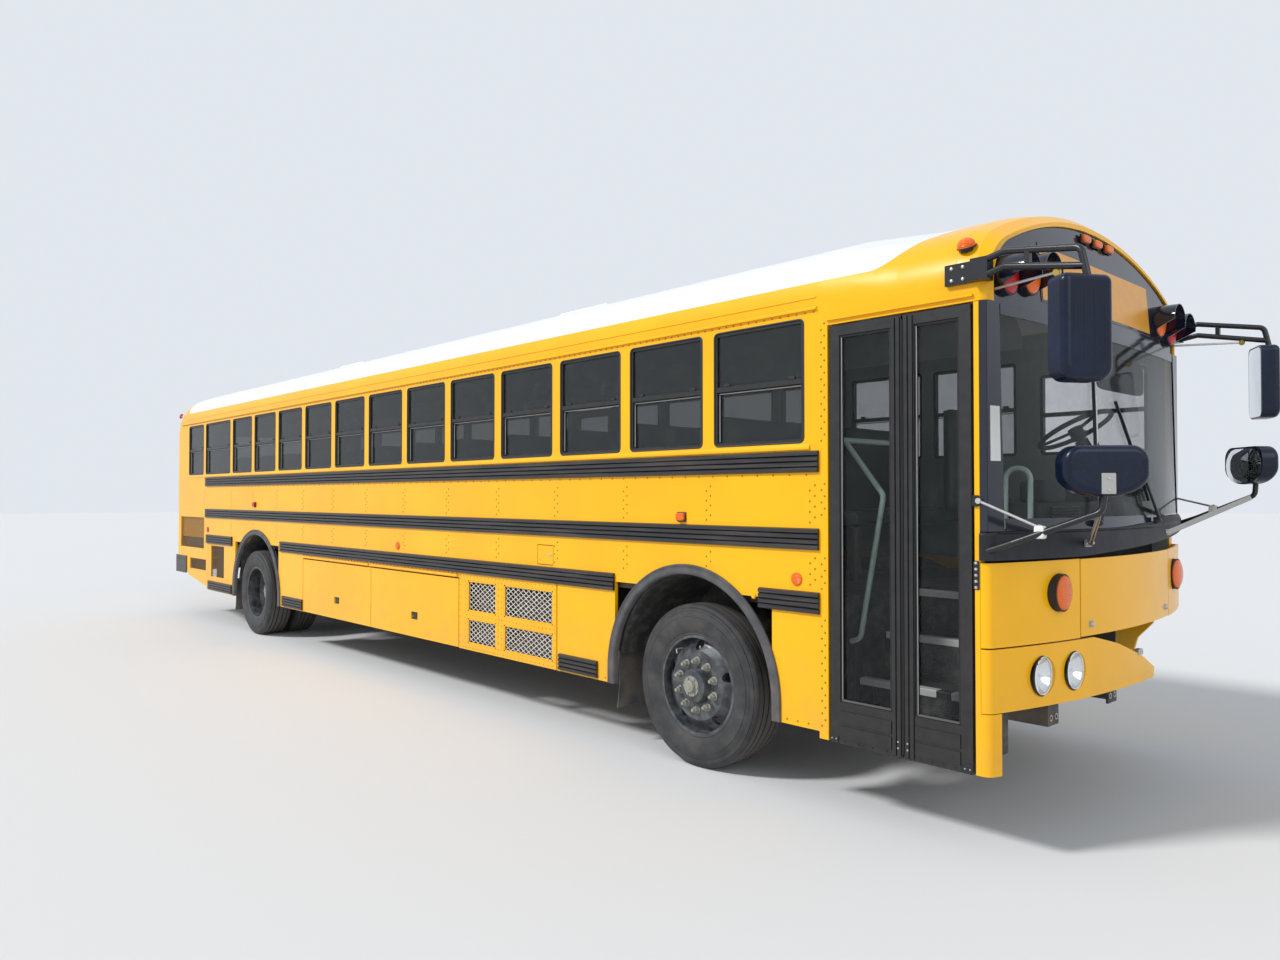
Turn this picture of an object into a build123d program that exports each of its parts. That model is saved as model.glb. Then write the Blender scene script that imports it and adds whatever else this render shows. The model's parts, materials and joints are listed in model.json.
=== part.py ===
"""Flat-nosed school bus with its engine at the rear, about twelve metres long.

Millimetres. X runs forward, Y to the bus's left (the driver's side) and Z up, with the ground at 0.
Every x below is counted from the front axle, and save() then moves a node so that the middle of
the whole bus, mirrors and rear bumper included, stands over the origin.
The door side is the right one, at negative Y.
"""

import math
import os

from build123d import *

# Whole bus
WHEELBASE = 7050
HALF_WIDTH = 1219
BACK = -9842  # outer face of the rear wall
CORNER = 1843  # where the side wall and the bowed front would meet without their round corner
POST_FRONT = 1806  # front edge of the flat corner posts
NOSE = 2026  # middle of the bowed front
BUMPER_BACK = -9932
MIRROR_FRONT = 2420
MIDDLE_X = (BUMPER_BACK + MIRROR_FRONT) / 2

# Heights
SKIRT = 400  # lower edge of the side skirts
DOOR_SKIRT = 364  # lower edge in front of the step to the door
FLOOR = 1070  # top of the cabin floor
FLOOR_THICK = 60
SILL = 1830  # lower edge of the window band
WINDOW_TOP = 2522
WAIST = 1050  # joint of the side sheets and the skirts
ROOF_SPRING = 2600  # where the flat wall turns into the roof
CROWN = 3100
FRAME_LOW, FRAME_HIGH = 620, 880
ENGINE_DECK = 1420

# Thicknesses
WALL = 45
SKIRT_THICK = 25
LID = 30
PANEL = 12
GAP = 6  # around every door and lid

# Roof: one crown arc and two cove arcs, all tangent to each other and to the walls
CROWN_RADIUS = 2600
CROWN_CENTRE = CROWN - CROWN_RADIUS
COVE_RADIUS = (CROWN_RADIUS**2 - HALF_WIDTH**2 - (ROOF_SPRING - CROWN_CENTRE) ** 2) / (
    2 * (CROWN_RADIUS - HALF_WIDTH)
)
CAP_JOINT = 930  # seam between the roof and the front cap
REAR_JOINT = -9500  # seam between the roof and the rear cap
CAP_DROPS = [(CAP_JOINT, 0), (1390, 42), (1700, 45), (1790, 62), (1850, 110)]  # x, drop of the roof line

# Front
NOSE_RAKE = math.radians(6.5)  # backward lean of the windscreen's middle
NOSE_BREAK = 1300  # the front stands upright below this height and leans above it
FRONT_ROUND = 48  # corner radius between the front and the sides
BULKHEAD = 1690
BULKHEAD_LOW = 890
SCREEN_LOW, SCREEN_HIGH = 1440, 2462
FASCIA_LOW = 640

# Crash damage at the left front, as (y, z) and (x, z) outlines of what is gone
COWL_GAP = [(-600, 1300), (-600, 1312), (220, 1346), (1300, 1400), (1300, 1300)]
FASCIA_LOSS = [(-520, 930), (-240, 868), (-70, 815), (60, 775), (262, 688), (235, 600), (1300, 600)]
FASCIA_LOSS.append((1300, 930))
CORNER_LOSS = [(1500, 350), (1560, 520), (1610, 700), (1700, 800), (1730, 905), (1900, 905), (1900, 350)]
BUCKLE = 70  # how far the left end of the cowl, with its mirror, is pushed up

# Side windows: the pillars' centres
PILLAR_PITCH = 720
FIRST_PILLAR = 165
PILLARS = [FIRST_PILLAR - PILLAR_PITCH * k for k in range(12)] + [-8753]
PILLAR_WIDTH = 90
FRONT_JAMB = 848
REAR_JAMB = -9395
WINDOW_SPANS = [
    (rear + PILLAR_WIDTH / 2, front - PILLAR_WIDTH / 2)
    for front, rear in zip([FRONT_JAMB + 45] + PILLARS, PILLARS + [REAR_JAMB - 45])
]
WINDOW_LOW = 1872
SASH_BAR = 22
EMERGENCY_BAY = 6  # the left bay that the side emergency door takes
DRIVER_WINDOW = (1010, 1690)

# Entrance
DOOR_REAR, DOOR_FRONT = 994, 1782
DOOR_LOW, DOOR_HIGH = 361, 2455
LEAF_THICK = 40
LEAF_PIVOT = 34  # from the jamb to the leaf's pivot
LEAF_EDGE = 20  # from the pivot to the leaf's own edge
LEAF_STILE = 58
LEAF_PANE = (570, 2403)
WELL_SPAN = (980, 1772)
WELL_LOW = 419

# Wheels and arches: centre x, centre z, radius of the opening, radius of the rubber's outside
TYRE_RADIUS = 480
TYRE_WIDTH = 274
RIM_RADIUS = 286
FRONT_TRACK = 1033  # middle of the front tyre
REAR_OUTER, REAR_INNER = 1049, 731
ARCHES = [(-12, 495, 642, 702), (-6925, 475, 675, 735)]
HOUSING_INNER = 560

# Storage doors and other openings in the right skirt
STORAGE_SPANS = [(-5586, -4052), (-4052, -2537)]
STORAGE_HIGH = 942
VENT_SPAN = (-2537, -1264)
VENT_COLUMNS = [(-2405, -2014), (-1909, -1310)]
VENT_ROWS = [(450, 645), (700, 940)]
REAR_VENTS = [(-9739, -8757, 904, 1327), (-9332, -8672, 626, 786), (-8485, -7991, 569, 979)]
MESH_PITCH = (84, 56)  # expanded sheet: one diamond across and up
MESH_STRAND = 11
FLAP_SPAN = ((-1491, -1304), (1114, 1256))

# Lamps: place across and height of each right-hand one, mirrored to the left
LAMP_RADIUS = 88
AMBER_WARNING, RED_WARNING = (842, 2618), (1046, 2590)
HOOD = (96, 91, 150)  # outer radius, inner radius, length
HEADLAMPS = (640, 880)
HEADLAMP_Z = 778
TURN_SIGNAL = (760, 1150)

# Mirrors: middle, width, height and how far each is turned towards the driver
REAR_VIEW = ((2285, -1310, 2265), 230, 425, 30)
CROSS_VIEW = ((2262, -1075, 1700), 350, 214, 45)
MIRROR_DEPTH = 100

# Steering
KINGPIN = 850
STEER_TILT = math.radians(28)
STEER_CENTRE = (1500, 550, 1990)
STEER_FOOT = (1500 + 620 * math.sin(STEER_TILT), 550, 1990 - 620 * math.cos(STEER_TILT))
STEER_END = (1500 + 75 * math.sin(STEER_TILT), 550, 1990 - 75 * math.cos(STEER_TILT))

# Seats
FIRST_BENCH = 40  # rear face of the foremost backrests
FLIP_SEAT = (1, FIRST_BENCH - PILLAR_PITCH * EMERGENCY_BAY)  # its cushion is folded up by the side door

# Rub rails: height of the middle, then the stretches from rear to front
RAIL_HEIGHT = 112
RAIL_PROUD = 18
RAILS_RIGHT = [
    (1774, [(-8687, 940)]),
    (1374, [(-8687, 940)]),
    (1047, [(-8641, -7700), (-6190, -655), (546, 943)]),
    (465, [(-8560, -7706), (-6119, -5592), (-1230, -824)]),
]
RAILS_LEFT = [
    (1774, [(-8687, -4150), (-3440, 940)]),
    (1374, [(-8687, -4150), (-3440, 1700)]),
    (1047, [(-8641, -7700), (-6190, -655), (700, 1700)]),
    (465, [(-8560, -7706), (-6119, -5592), (-1230, -824)]),
]

# Engine door and roof hatches
ENGINE_DOOR = (720, 820, 1480)  # half width, low, high
HATCHES = (-2115, -6435)
HATCH_SIZE = 600


def block(x0, x1, y0, y1, z0, z1):
    """Box between two corners."""
    return Pos((x0 + x1) / 2, (y0 + y1) / 2, (z0 + z1) / 2) * Box(x1 - x0, y1 - y0, z1 - z0)


def sided(side, near, far):
    """The two y values of a span measured outwards from the middle, on one side of the bus."""
    return sorted((side * near, side * far))


def wall(side, x0, x1, z0, z1, thick=WALL, proud=0):
    """Flat stretch of the bus's side, from its outer face inwards."""
    y0, y1 = sided(side, HALF_WIDTH - thick, HALF_WIDTH + proud)
    return block(x0, x1, y0, y1, z0, z1)


def across(x, z, radius, y0, y1):
    """Round bar or disc with its axis along Y."""
    return Pos(x, (y0 + y1) / 2, z) * Rot(90, 0, 0) * Cylinder(radius, y1 - y0)


def rod(start, end, radius):
    """Straight round bar between two points."""
    a, b = Vector(*start), Vector(*end)
    return extrude(Plane(origin=a, z_dir=b - a) * Circle(radius), (b - a).length)


def bent_tube(points, radius, bend):
    """Round tube along straight runs that are joined by tangent arcs."""
    path = FilletPolyline(*points, radius=bend)
    return sweep(Plane(origin=path @ 0, z_dir=path % 0) * Circle(radius), path=path)


def both(piece):
    """The piece and its mirror image on the bus's other side."""
    return [piece, mirror(piece, about=Plane.XZ)]


def save(name, *pieces):
    """Writes one node; the bus's middle goes over the origin."""
    solids = [Pos(-MIDDLE_X, 0, 0) * solid for piece in pieces for solid in piece.solids()]
    whole = solids[0] if len(solids) == 1 else Compound(children=solids)
    export_step(whole, f"parts/{name}.step")


def body_section(x, inset=0, drop=0, foot=SILL):
    """Cross-section face at x: flat walls from the foot, coves and crown, shrunk by an inset."""
    half = HALF_WIDTH - inset
    crown_r, cove_r = CROWN_RADIUS - inset, COVE_RADIUS - inset
    cove_y = HALF_WIDTH - COVE_RADIUS
    spring, centre = ROOF_SPRING - drop, CROWN_CENTRE - drop
    lean = math.atan2(cove_y, spring - centre)
    turn = (math.pi / 2 - lean) / 2
    foot_p, spring_p = (half, foot), (half, spring)
    cove_p = (cove_y + cove_r * math.cos(turn), spring + cove_r * math.sin(turn))
    joint_p = (crown_r * math.sin(lean), centre + crown_r * math.cos(lean))
    top_p = (0, centre + crown_r)

    def other(p):
        return (-p[0], p[1])

    edges = [
        ThreePointArc(spring_p, cove_p, joint_p),
        ThreePointArc(joint_p, top_p, other(joint_p)),
        ThreePointArc(other(joint_p), other(cove_p), other(spring_p)),
        Line(other(foot_p), foot_p),
    ]
    if foot < spring:
        edges += [Line(foot_p, spring_p), Line(other(spring_p), other(foot_p))]
    return Plane((x, 0, 0), x_dir=(0, 1, 0), z_dir=(1, 0, 0)) * make_face(edges)


def plan_section(z, inset=0, back=BULKHEAD - 900):
    """Plan face of the bus's front at height z: straight sides, round corners, bowed front."""
    lean = max(0, z - NOSE_BREAK) * math.tan(NOSE_RAKE)
    half, corner, nose = HALF_WIDTH - inset, CORNER - inset, NOSE - inset - lean
    edges = [
        Line((back, half), (corner, half)),
        ThreePointArc((corner, half), (nose, 0), (corner, -half)),
        Line((corner, -half), (back, -half)),
        Line((back, -half), (back, half)),
    ]
    face = make_face(edges)
    front = face.vertices().sort_by(Axis.X)[-2:]
    return Plane((0, 0, z)) * fillet(front, max(FRONT_ROUND - inset, 8))


def nose(inset=0, low=300, high=3150):
    """Solid bounded by the bus's front and sides: upright below the break, leaning above it."""
    if low >= NOSE_BREAK:
        return loft([plan_section(low, inset), plan_section(high, inset)], ruled=True)
    lower = extrude(plan_section(low, inset), min(high, NOSE_BREAK) - low)
    if high <= NOSE_BREAK:
        return lower
    return lower + loft([plan_section(NOSE_BREAK, inset), plan_section(high, inset)], ruled=True)


def arch_cut(arch, radius, y0=-1500, y1=1500, foot=200):
    """Wheel-arch opening through the bus: a round top over straight legs."""
    x, z = arch[0], arch[1]
    return across(x, z, radius, y0, y1) + block(x - radius, x + radius, y0, y1, foot, z)


def rounded_window(side, x0, x1, z0, z1, radius, thick):
    """Round-cornered cutter through one side wall."""
    face = Pos((x0 + x1) / 2, (z0 + z1) / 2) * RectangleRounded(x1 - x0, z1 - z0, radius)
    y = side * (HALF_WIDTH + thick)
    sheet = Plane((0, y, 0), x_dir=(1, 0, 0), z_dir=(0, -1, 0)) * face
    return extrude(sheet, side * 3 * thick)


# Chassis
def chassis_frame():
    """Two channels with cross-members and bumper brackets at the front ends."""
    front, back, outer, web, flange = 1690, -9700, 430, 10, 90
    rails = []
    for side in (-1, 1):
        y0, y1 = sided(side, outer - flange, outer)
        c0, c1 = sided(side, outer - flange - 5, outer - web)
        rails.append(
            block(back, front, y0, y1, FRAME_LOW, FRAME_HIGH)
            - block(back, front, c0, c1, FRAME_LOW + web, FRAME_HIGH - web)
        )
    members = [
        block(x - 40, x + 40, web - outer, outer - web, FRAME_LOW + 40, FRAME_HIGH - 20)
        for x in [1600 - 1120 * k for k in range(9)] + [-9640]
    ]
    frame = rails[0] + rails[1]
    for member in members:
        frame += member
    for side in (-1, 1):
        y0, y1 = sided(side, outer, outer + 12)
        plate = block(1440, 1760, y0, y1, 440, 840)
        f0, f1 = sided(side, outer - 110, outer + 12)
        flange_plate = block(1748, 1760, f0, f1, 440, 700)
        holes = [
            Pos(1754, side * (outer - 50 + dy), z) * Rot(0, 90, 0) * Cylinder(9, 40)
            for dy in (-30, 30)
            for z in (480, 640)
        ]
        frame += plate + flange_plate
        for hole in holes:
            frame -= hole
    return frame


def front_axle():
    """Dropped I-beam whose raised ends have eyes for the kingpins, and its two leaf springs."""
    lower = [(0, 330), (600, 330), (760, 440), (KINGPIN, 440)]
    outline = lower + [(KINGPIN, 520), (740, 520), (570, 420), (0, 420)]
    half = extrude(Plane.YZ * make_face(Polyline(*outline, close=True)), 38, both=True)
    beam = half + mirror(half, about=Plane.XZ)
    for face in (-1, 1):
        x0, x1 = sorted((face * 15, face * 60))
        beam -= block(x0, x1, -590, 590, 350, 400)
    for side in (-1, 1):
        beam += Pos(0, side * KINGPIN, 480) * Cylinder(34, 80)
        s0, s1 = sided(side, 395, 485)
        beam += block(-560, 560, s0, s1, 500, 540)
        beam += block(-330, 330, s0, s1, 460, 500)
        beam += block(-70, 70, s0, s1, 420, 460)
        beam += block(-600, -540, s0, s1, 500, FRAME_LOW)
        beam += block(540, 600, s0, s1, 500, FRAME_LOW)
    return beam


def rear_axle():
    """Drive axle: tube, round final-drive casing, backing plates and springs."""
    x = -WHEELBASE
    axle = across(x, TYRE_RADIUS, 75, -585, 585)
    axle += across(x, TYRE_RADIUS, 215, -120, 120)
    axle += Pos(x + 150, 0, TYRE_RADIUS) * Rot(0, 90, 0) * Cone(170, 80, 260)
    for side in (-1, 1):
        p0, p1 = sided(side, 575, 590)
        axle += across(x, TYRE_RADIUS, 195, p0, p1)
        s0, s1 = sided(side, 395, 485)
        axle += block(x - 60, x + 60, s0, s1, TYRE_RADIUS, 570)
        axle += block(x - 620, x + 620, s0, s1, 560, 600)
        axle += block(x - 660, x - 600, s0, s1, 560, FRAME_LOW)
        axle += block(x + 600, x + 660, s0, s1, 560, FRAME_LOW)
    return axle


def knuckle(side):
    """Fork over and under the axle's eye, with the stub axle and the brake's backing plate."""
    y0, y1 = sided(side, KINGPIN + 40, 905)
    fork = block(-38, 38, y0, y1, 400, 560)
    a0, a1 = sided(side, KINGPIN, 900)
    for z in (417, 543):
        fork += Pos(0, side * KINGPIN, z) * Cylinder(38, 34) + block(-38, 38, a0, a1, z - 17, z + 17)
    fork += across(0, TYRE_RADIUS, 38, *sided(side, 900, 1101))
    return fork + across(0, TYRE_RADIUS, 195, *sided(side, 897, 909))


# Wheels: every profile is a list of (radius, distance outwards from the middle of the tyre)
def turned(profile, x, side, y, turn=0):
    """Ring turned from its half profile about the wheel's axis."""
    face = make_face(Polyline(*[(r, w) for r, w in profile], close=True))
    ring = revolve(face, Axis.Y)
    piece = Rot(0, turn, 0) * ring
    if side < 0:
        piece = mirror(piece, about=Plane.XZ)
    return Pos(x, side * y, TYRE_RADIUS) * piece


TYRE_PROFILE = [
    (RIM_RADIUS, -98),
    (RIM_RADIUS, 98),
    (330, TYRE_WIDTH / 2 - 8),
    (380, TYRE_WIDTH / 2),
    (435, TYRE_WIDTH / 2 - 6),
    (466, 112),
    (TYRE_RADIUS, 92),
    (TYRE_RADIUS, -92),
    (466, -112),
    (435, -TYRE_WIDTH / 2 + 6),
    (380, -TYRE_WIDTH / 2),
    (330, -TYRE_WIDTH / 2 + 8),
]
FLANGE = RIM_RADIUS + 10
BARREL = RIM_RADIUS - 1
FRONT_RIM = [  # the last four points are the brake drum's open inside
    (274, -114),
    (FLANGE, -114),
    (FLANGE, -107),
    (BARREL, -102),
    (BARREL, 102),
    (FLANGE, 107),
    (FLANGE, 114),
    (278, 114),
    (272, 60),
    (235, 82),
    (205, 108),
    (110, 108),
    (95, 150),
    (60, 158),
    (0, 158),
    (0, 74),
    (186, 74),
    (186, -110),
    (206, -110),
    (206, 76),
    (262, 36),
]
HUB_GAP = (REAR_OUTER - REAR_INNER) / 2
OUTER_HALF = [  # from the drum's face outwards, counted from the plane where the two discs meet
    (105, 10),
    (205, 10),
    (272, HUB_GAP - 20),
    (272, HUB_GAP + 60),
    (278, HUB_GAP + 114),
    (FLANGE, HUB_GAP + 114),
    (FLANGE, HUB_GAP + 107),
    (BARREL, HUB_GAP + 102),
    (BARREL, HUB_GAP - 102),
    (FLANGE, HUB_GAP - 107),
    (FLANGE, HUB_GAP - 114),
    (274, HUB_GAP - 114),
    (260, HUB_GAP - 60),
]
REAR_RIMS = (
    [(0, 155), (95, 155), (105, 145)]
    + OUTER_HALF
    + [(212, 0)]
    + [(r, -w) for r, w in reversed(OUTER_HALF[2:])]
    + [(206, -12), (206, -290), (186, -290), (186, -22), (0, -22)]
)


def front_rim(side):
    """Dished steel wheel with five hand holes, its hub and its brake drum."""
    rim = turned(FRONT_RIM, 0, side, FRONT_TRACK)
    for k in range(5):
        a = math.radians(90 + 72 * k)
        h0, h1 = sided(side, FRONT_TRACK + 20, FRONT_TRACK + 200)
        rim -= across(234 * math.cos(a), TYRE_RADIUS + 234 * math.sin(a), 29, h0, h1)
    return rim


def rear_rims(side):
    """Two dished wheels bolted face to face, with the hub and the drum, as one piece."""
    rims = turned(REAR_RIMS, -WHEELBASE, side, (REAR_OUTER + REAR_INNER) / 2)
    for k in range(5):
        a = math.radians(90 + 72 * k)
        x, z = -WHEELBASE + 236 * math.cos(a), TYRE_RADIUS + 236 * math.sin(a)
        rims -= across(x, z, 21, *sided(side, 750, 1040))
    return rims


# Floor and what sinks below it
def floor():
    """Cabin floor on cross sills, cut for the wheel housings and the step well."""
    low = FLOOR - FLOOR_THICK
    plate = block(-8450, BULKHEAD - 2, -HALF_WIDTH + WALL, HALF_WIDTH - WALL, low, FLOOR)
    for k in range(9):
        x = 300 - 1080 * k
        plate += block(x - 30, x + 30, -450, 450, FRAME_HIGH, low)
    for arch in ARCHES:
        cutter = across(arch[0], arch[1], arch[2] + 10, HOUSING_INNER - 2, 1300)
        plate -= cutter + mirror(cutter, about=Plane.XZ)
    return plate - block(WELL_SPAN[0] - 14, 1900, -1300, -430, low - 10, FLOOR + 10)


def step_well():
    """Entrance stairs folded from sheet between two side plates."""
    thick, riser = 12, (FLOOR - WELL_LOW) / 3
    edges = [-1165, -930, -680, -444]
    x0, x1 = WELL_SPAN
    well = None
    for k in range(3):
        z = WELL_LOW + riser * k
        tread = block(x0, x1, edges[k], edges[k + 1] + thick, z - thick, z)
        tread += block(x0, x1, edges[k + 1], edges[k + 1] + thick, z - thick, z + riser)
        well = tread if well is None else well + tread
    low = WELL_LOW - thick
    outline = [(edges[0], FLOOR), (edges[0], low)]
    for k in range(3):
        outline += [(edges[k + 1] + thick, low + riser * k), (edges[k + 1] + thick, low + riser * (k + 1))]
    outline[-1] = (edges[3] + thick, FLOOR)
    profile = make_face(Polyline(*outline, close=True))
    for x in (x0 - thick, x1):
        plate = Plane((x, 0, 0), x_dir=(0, 1, 0), z_dir=(1, 0, 0)) * profile
        well += extrude(plate, thick)
    return well


def wheel_housings():
    """Four arched sheet housings that stand through the floor, each open to its wheel."""
    housings = []
    for x, z, radius, _ in ARCHES:
        for side in (-1, 1):
            y0, y1 = sided(side, HOUSING_INNER, HALF_WIDTH - WALL - 1)
            c0, c1 = sided(side, HOUSING_INNER + 8, HALF_WIDTH + 5)
            shell = across(x, z, radius + 8, y0, y1) - across(x, z, radius, c0, c1)
            housings.append(shell - block(x - 900, x + 900, -1300, 1300, -400, z + 90))
    return housings


def storage_boxes():
    """Two sheet-metal luggage boxes behind the storage doors, open at the side."""
    boxes = []
    for x0, x1 in STORAGE_SPANS:
        outer = block(x0 + 12, x1 - 12, -1184, -470, 402, FLOOR - FLOOR_THICK - 4)
        inner = block(x0 + 18, x1 - 18, -1200, -476, 408, FLOOR - FLOOR_THICK - 10)
        boxes.append(outer - inner)
    return boxes


def rear_deck():
    """Raised deck over the engine: a top plate and the riser in front of it."""
    inner = HALF_WIDTH - WALL
    return block(BACK + WALL, -8450, -inner, inner, ENGINE_DECK - 40, ENGINE_DECK) + block(
        -8490, -8450, -inner, inner, FLOOR - FLOOR_THICK, ENGINE_DECK
    )


# Sides
def side_panels():
    """Sheets between the floor line and the window sills, with the front corner posts."""
    right = wall(-1, BACK + WALL, DOOR_REAR, WAIST, SILL)
    left = wall(1, BACK + WALL, POST_FRONT - 24, WAIST, SILL)
    bay = WINDOW_SPANS[EMERGENCY_BAY]
    left -= wall(1, bay[0], bay[1], FLOOR + 34, SILL + 20, WALL + 5, 5)
    for arch in ARCHES:
        right -= across(arch[0], arch[1], arch[2] + 12, -1300, -1000)
        left -= across(arch[0], arch[1], arch[2] + 12, 1000, 1300)
    door = block(-9739, -8757, -1300, -1190, 1050, 1327)
    right -= door
    left -= mirror(door, about=Plane.XZ)
    flap = block(*FLAP_SPAN[0], -1300, -HALF_WIDTH + 20, *FLAP_SPAN[1])
    right -= flap
    left += wall(1, 250, 420, 1500, 1640, 0, 40)
    return [right] + left.solids()


def lost_corner():
    """Cutter for the left front corner that the crash took off."""
    outline = make_face(Polyline(*CORNER_LOSS, close=True))
    return extrude(Plane((0, 1100, 0), x_dir=(1, 0, 0), z_dir=(0, -1, 0)) * outline, -200)


def corner_posts():
    """Yellow posts beside the windscreen, from the skirt to the cap, with their inner returns."""
    posts = []
    for side in (-1, 1):
        x0 = DOOR_FRONT if side < 0 else POST_FRONT - 24
        post = wall(side, x0, POST_FRONT, DOOR_SKIRT, SCREEN_HIGH)
        y0, y1 = sided(side, HALF_WIDTH - 75, HALF_WIDTH + 10)
        if side < 0:
            low = nose(0, DOOR_SKIRT, FASCIA_LOW) - nose(WALL, DOOR_SKIRT - 10, FASCIA_LOW + 10)
            post += low & block(x0, 2000, y0, y1, DOOR_SKIRT, FASCIA_LOW - 4)
        else:
            post -= lost_corner()
        high = nose(16, SCREEN_LOW, SCREEN_HIGH) - nose(52, SCREEN_LOW - 10, SCREEN_HIGH + 10)
        y0, y1 = sided(side, HALF_WIDTH - 70, HALF_WIDTH + 10)
        posts.append(post + (high & block(x0, 2000, y0, y1, SCREEN_LOW, SCREEN_HIGH)))
    return posts


def skirts():
    """Thin panels below the floor line, with the mesh openings cut in them."""
    spans = [(-8589, -7600), (-6250, -5592), (-1258, -654), (630, DOOR_REAR)]  # rear to front
    panels = []
    for side in (-1, 1):
        for x0, x1 in spans:
            panel = wall(side, x0, x1, SKIRT, WAIST, SKIRT_THICK)
            for arch in ARCHES:
                panel -= arch_cut(arch, arch[2] + 12)
            if x0 > 0:
                panel += wall(side, 939, DOOR_REAR, DOOR_SKIRT, SKIRT, SKIRT_THICK)
            if x0 < -8000:
                y0, y1 = sided(side, 1100, 1300)
                panel -= block(-8485, -7991, y0, y1, 569, 979)
            panels.append(panel)
        panels.append(rear_corner(side))
    panels.append(wall(1, -5580, -1264, SKIRT, WAIST, SKIRT_THICK))
    panels.append(wall(1, DOOR_REAR + 2, POST_FRONT - 24, SKIRT, WAIST, SKIRT_THICK) - lost_corner())
    return panels


def rear_corner(side):
    """Skirt behind the rear wheel: its lower edge climbs towards the bumper."""
    outline = [(-8595, 427), (-9370, 543), (-9797, 720), (-9797, WAIST), (-8595, WAIST)]
    face = Plane((0, side * HALF_WIDTH, 0), x_dir=(1, 0, 0), z_dir=(0, -1, 0)) * make_face(
        Polyline(*outline, close=True)
    )
    panel = extrude(face, side * SKIRT_THICK)
    y0, y1 = sided(side, 1100, 1300)
    panel -= block(-9739, -8757, y0, y1, 904, 1060)
    return panel - block(-9332, -8672, y0, y1, 626, 786)


def vent_panel():
    """Skirt panel with four openings for mesh."""
    panel = wall(-1, VENT_SPAN[0] + 6, VENT_SPAN[1] - 6, SKIRT, WAIST, SKIRT_THICK)
    for x0, x1 in VENT_COLUMNS:
        for z0, z1 in VENT_ROWS:
            panel -= block(x0, x1, -1300, -1100, z0, z1)
    return panel


def expanded_sheet(width, height):
    """Flat face with a solid rim and staggered diamond holes."""
    wide, high = MESH_PITCH
    columns, rows = int((width - 20) / wide), int((height - 16) / high)
    a, b = (wide - MESH_STRAND) / 2, (high - MESH_STRAND) / 2
    diamond = make_face(Polyline((a, 0), (0, b), (-a, 0), (0, -b), close=True))
    places = list(GridLocations(wide, high, columns, rows))
    places += list(GridLocations(wide, high, columns - 1, rows - 1))
    return Rectangle(width, height) - [place * diamond for place in places]


def grille_meshes():
    """Expanded sheets set in the openings of both sides."""
    vents = [(x0, x1, z0, z1) for x0, x1 in VENT_COLUMNS for z0, z1 in VENT_ROWS]
    meshes = []
    for side, openings in ((-1, vents + REAR_VENTS), (1, REAR_VENTS)):
        for x0, x1, z0, z1 in openings:
            middle = ((x0 + x1) / 2, side * (HALF_WIDTH - 8), (z0 + z1) / 2)
            plane = Plane(middle, x_dir=(1, 0, 0), z_dir=(0, -side, 0))
            meshes.append(extrude(plane * expanded_sheet(x1 - x0, z1 - z0), 5))
    return meshes


def window_bands():
    """Pillars and headers: the wall above the sills, with every window cut through."""
    bands = []
    for side in (-1, 1):
        front = DOOR_REAR if side < 0 else POST_FRONT - 24
        band = wall(side, BACK + WALL, front, SILL, ROOF_SPRING)
        if side > 0:
            band -= wall(1, DOOR_REAR, front, 2465, ROOF_SPRING + 10, WALL + 5, 5)
            band -= rounded_window(1, *DRIVER_WINDOW, WINDOW_LOW, 2420, 30, WALL)
        band += wall(side, -9700, CAP_JOINT, 2556, 2566, 0, 14)
        for k, (x0, x1) in enumerate(WINDOW_SPANS):
            if side > 0 and k == EMERGENCY_BAY:
                band -= wall(1, x0, x1, SILL - 10, WINDOW_TOP + 8, WALL + 5, 5)
            else:
                band -= rounded_window(side, x0, x1, WINDOW_LOW, WINDOW_TOP, 30, WALL)
        bands.append(band)
    return bands


def window_openings():
    """Every fixed side window: side, from x, to x, from z, to z."""
    rows = []
    for side in (-1, 1):
        for k, (x0, x1) in enumerate(WINDOW_SPANS):
            if not (side > 0 and k == EMERGENCY_BAY):
                rows.append((side, x0, x1, WINDOW_LOW, WINDOW_TOP))
    rows.append((1, *DRIVER_WINDOW, WINDOW_LOW, 2420))
    return rows


def window_frames():
    """Metal sash frames with a meeting rail half way up."""
    frames = []
    for side, x0, x1, z0, z1 in window_openings():
        y0, y1 = sided(side, HALF_WIDTH - 40, HALF_WIDTH - 4)
        frame = block(x0 + 1, x1 - 1, y0, y1, z0 + 1, z1 - 1)
        middle = (z0 + z1) / 2
        c0, c1 = sided(side, HALF_WIDTH - 60, HALF_WIDTH + 20)
        frame -= block(x0 + SASH_BAR, x1 - SASH_BAR, c0, c1, z0 + SASH_BAR, middle - 14)
        frame -= block(x0 + SASH_BAR, x1 - SASH_BAR, c0, c1, middle + 14, z1 - SASH_BAR)
        corners = rounded_window(side, x0 + 1, x1 - 1, z0 + 1, z1 - 1, 29, WALL)
        frames.append(frame & corners)
    return frames


def glass():
    """Fixed panes: two in each side window, the windscreen and the rear window."""
    panes = []
    for side, x0, x1, z0, z1 in window_openings():
        middle = (z0 + z1) / 2
        for low, high, depth in ((z0 + SASH_BAR, middle - 14, 26), (middle + 14, z1 - SASH_BAR, 14)):
            y0, y1 = sided(side, HALF_WIDTH - depth - 5, HALF_WIDTH - depth)
            panes.append(block(x0 + SASH_BAR, x1 - SASH_BAR, y0, y1, low, high))
    screen = nose(3, SCREEN_LOW, SCREEN_HIGH) - nose(9, SCREEN_LOW - 10, SCREEN_HIGH + 10)
    panes.append(screen & block(POST_FRONT + 4, 2100, -1300, 1300, SCREEN_LOW, SCREEN_HIGH))
    panes.append(block(BACK + 12, BACK + 18, -540, 540, 1850, 2440))
    return panes


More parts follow.
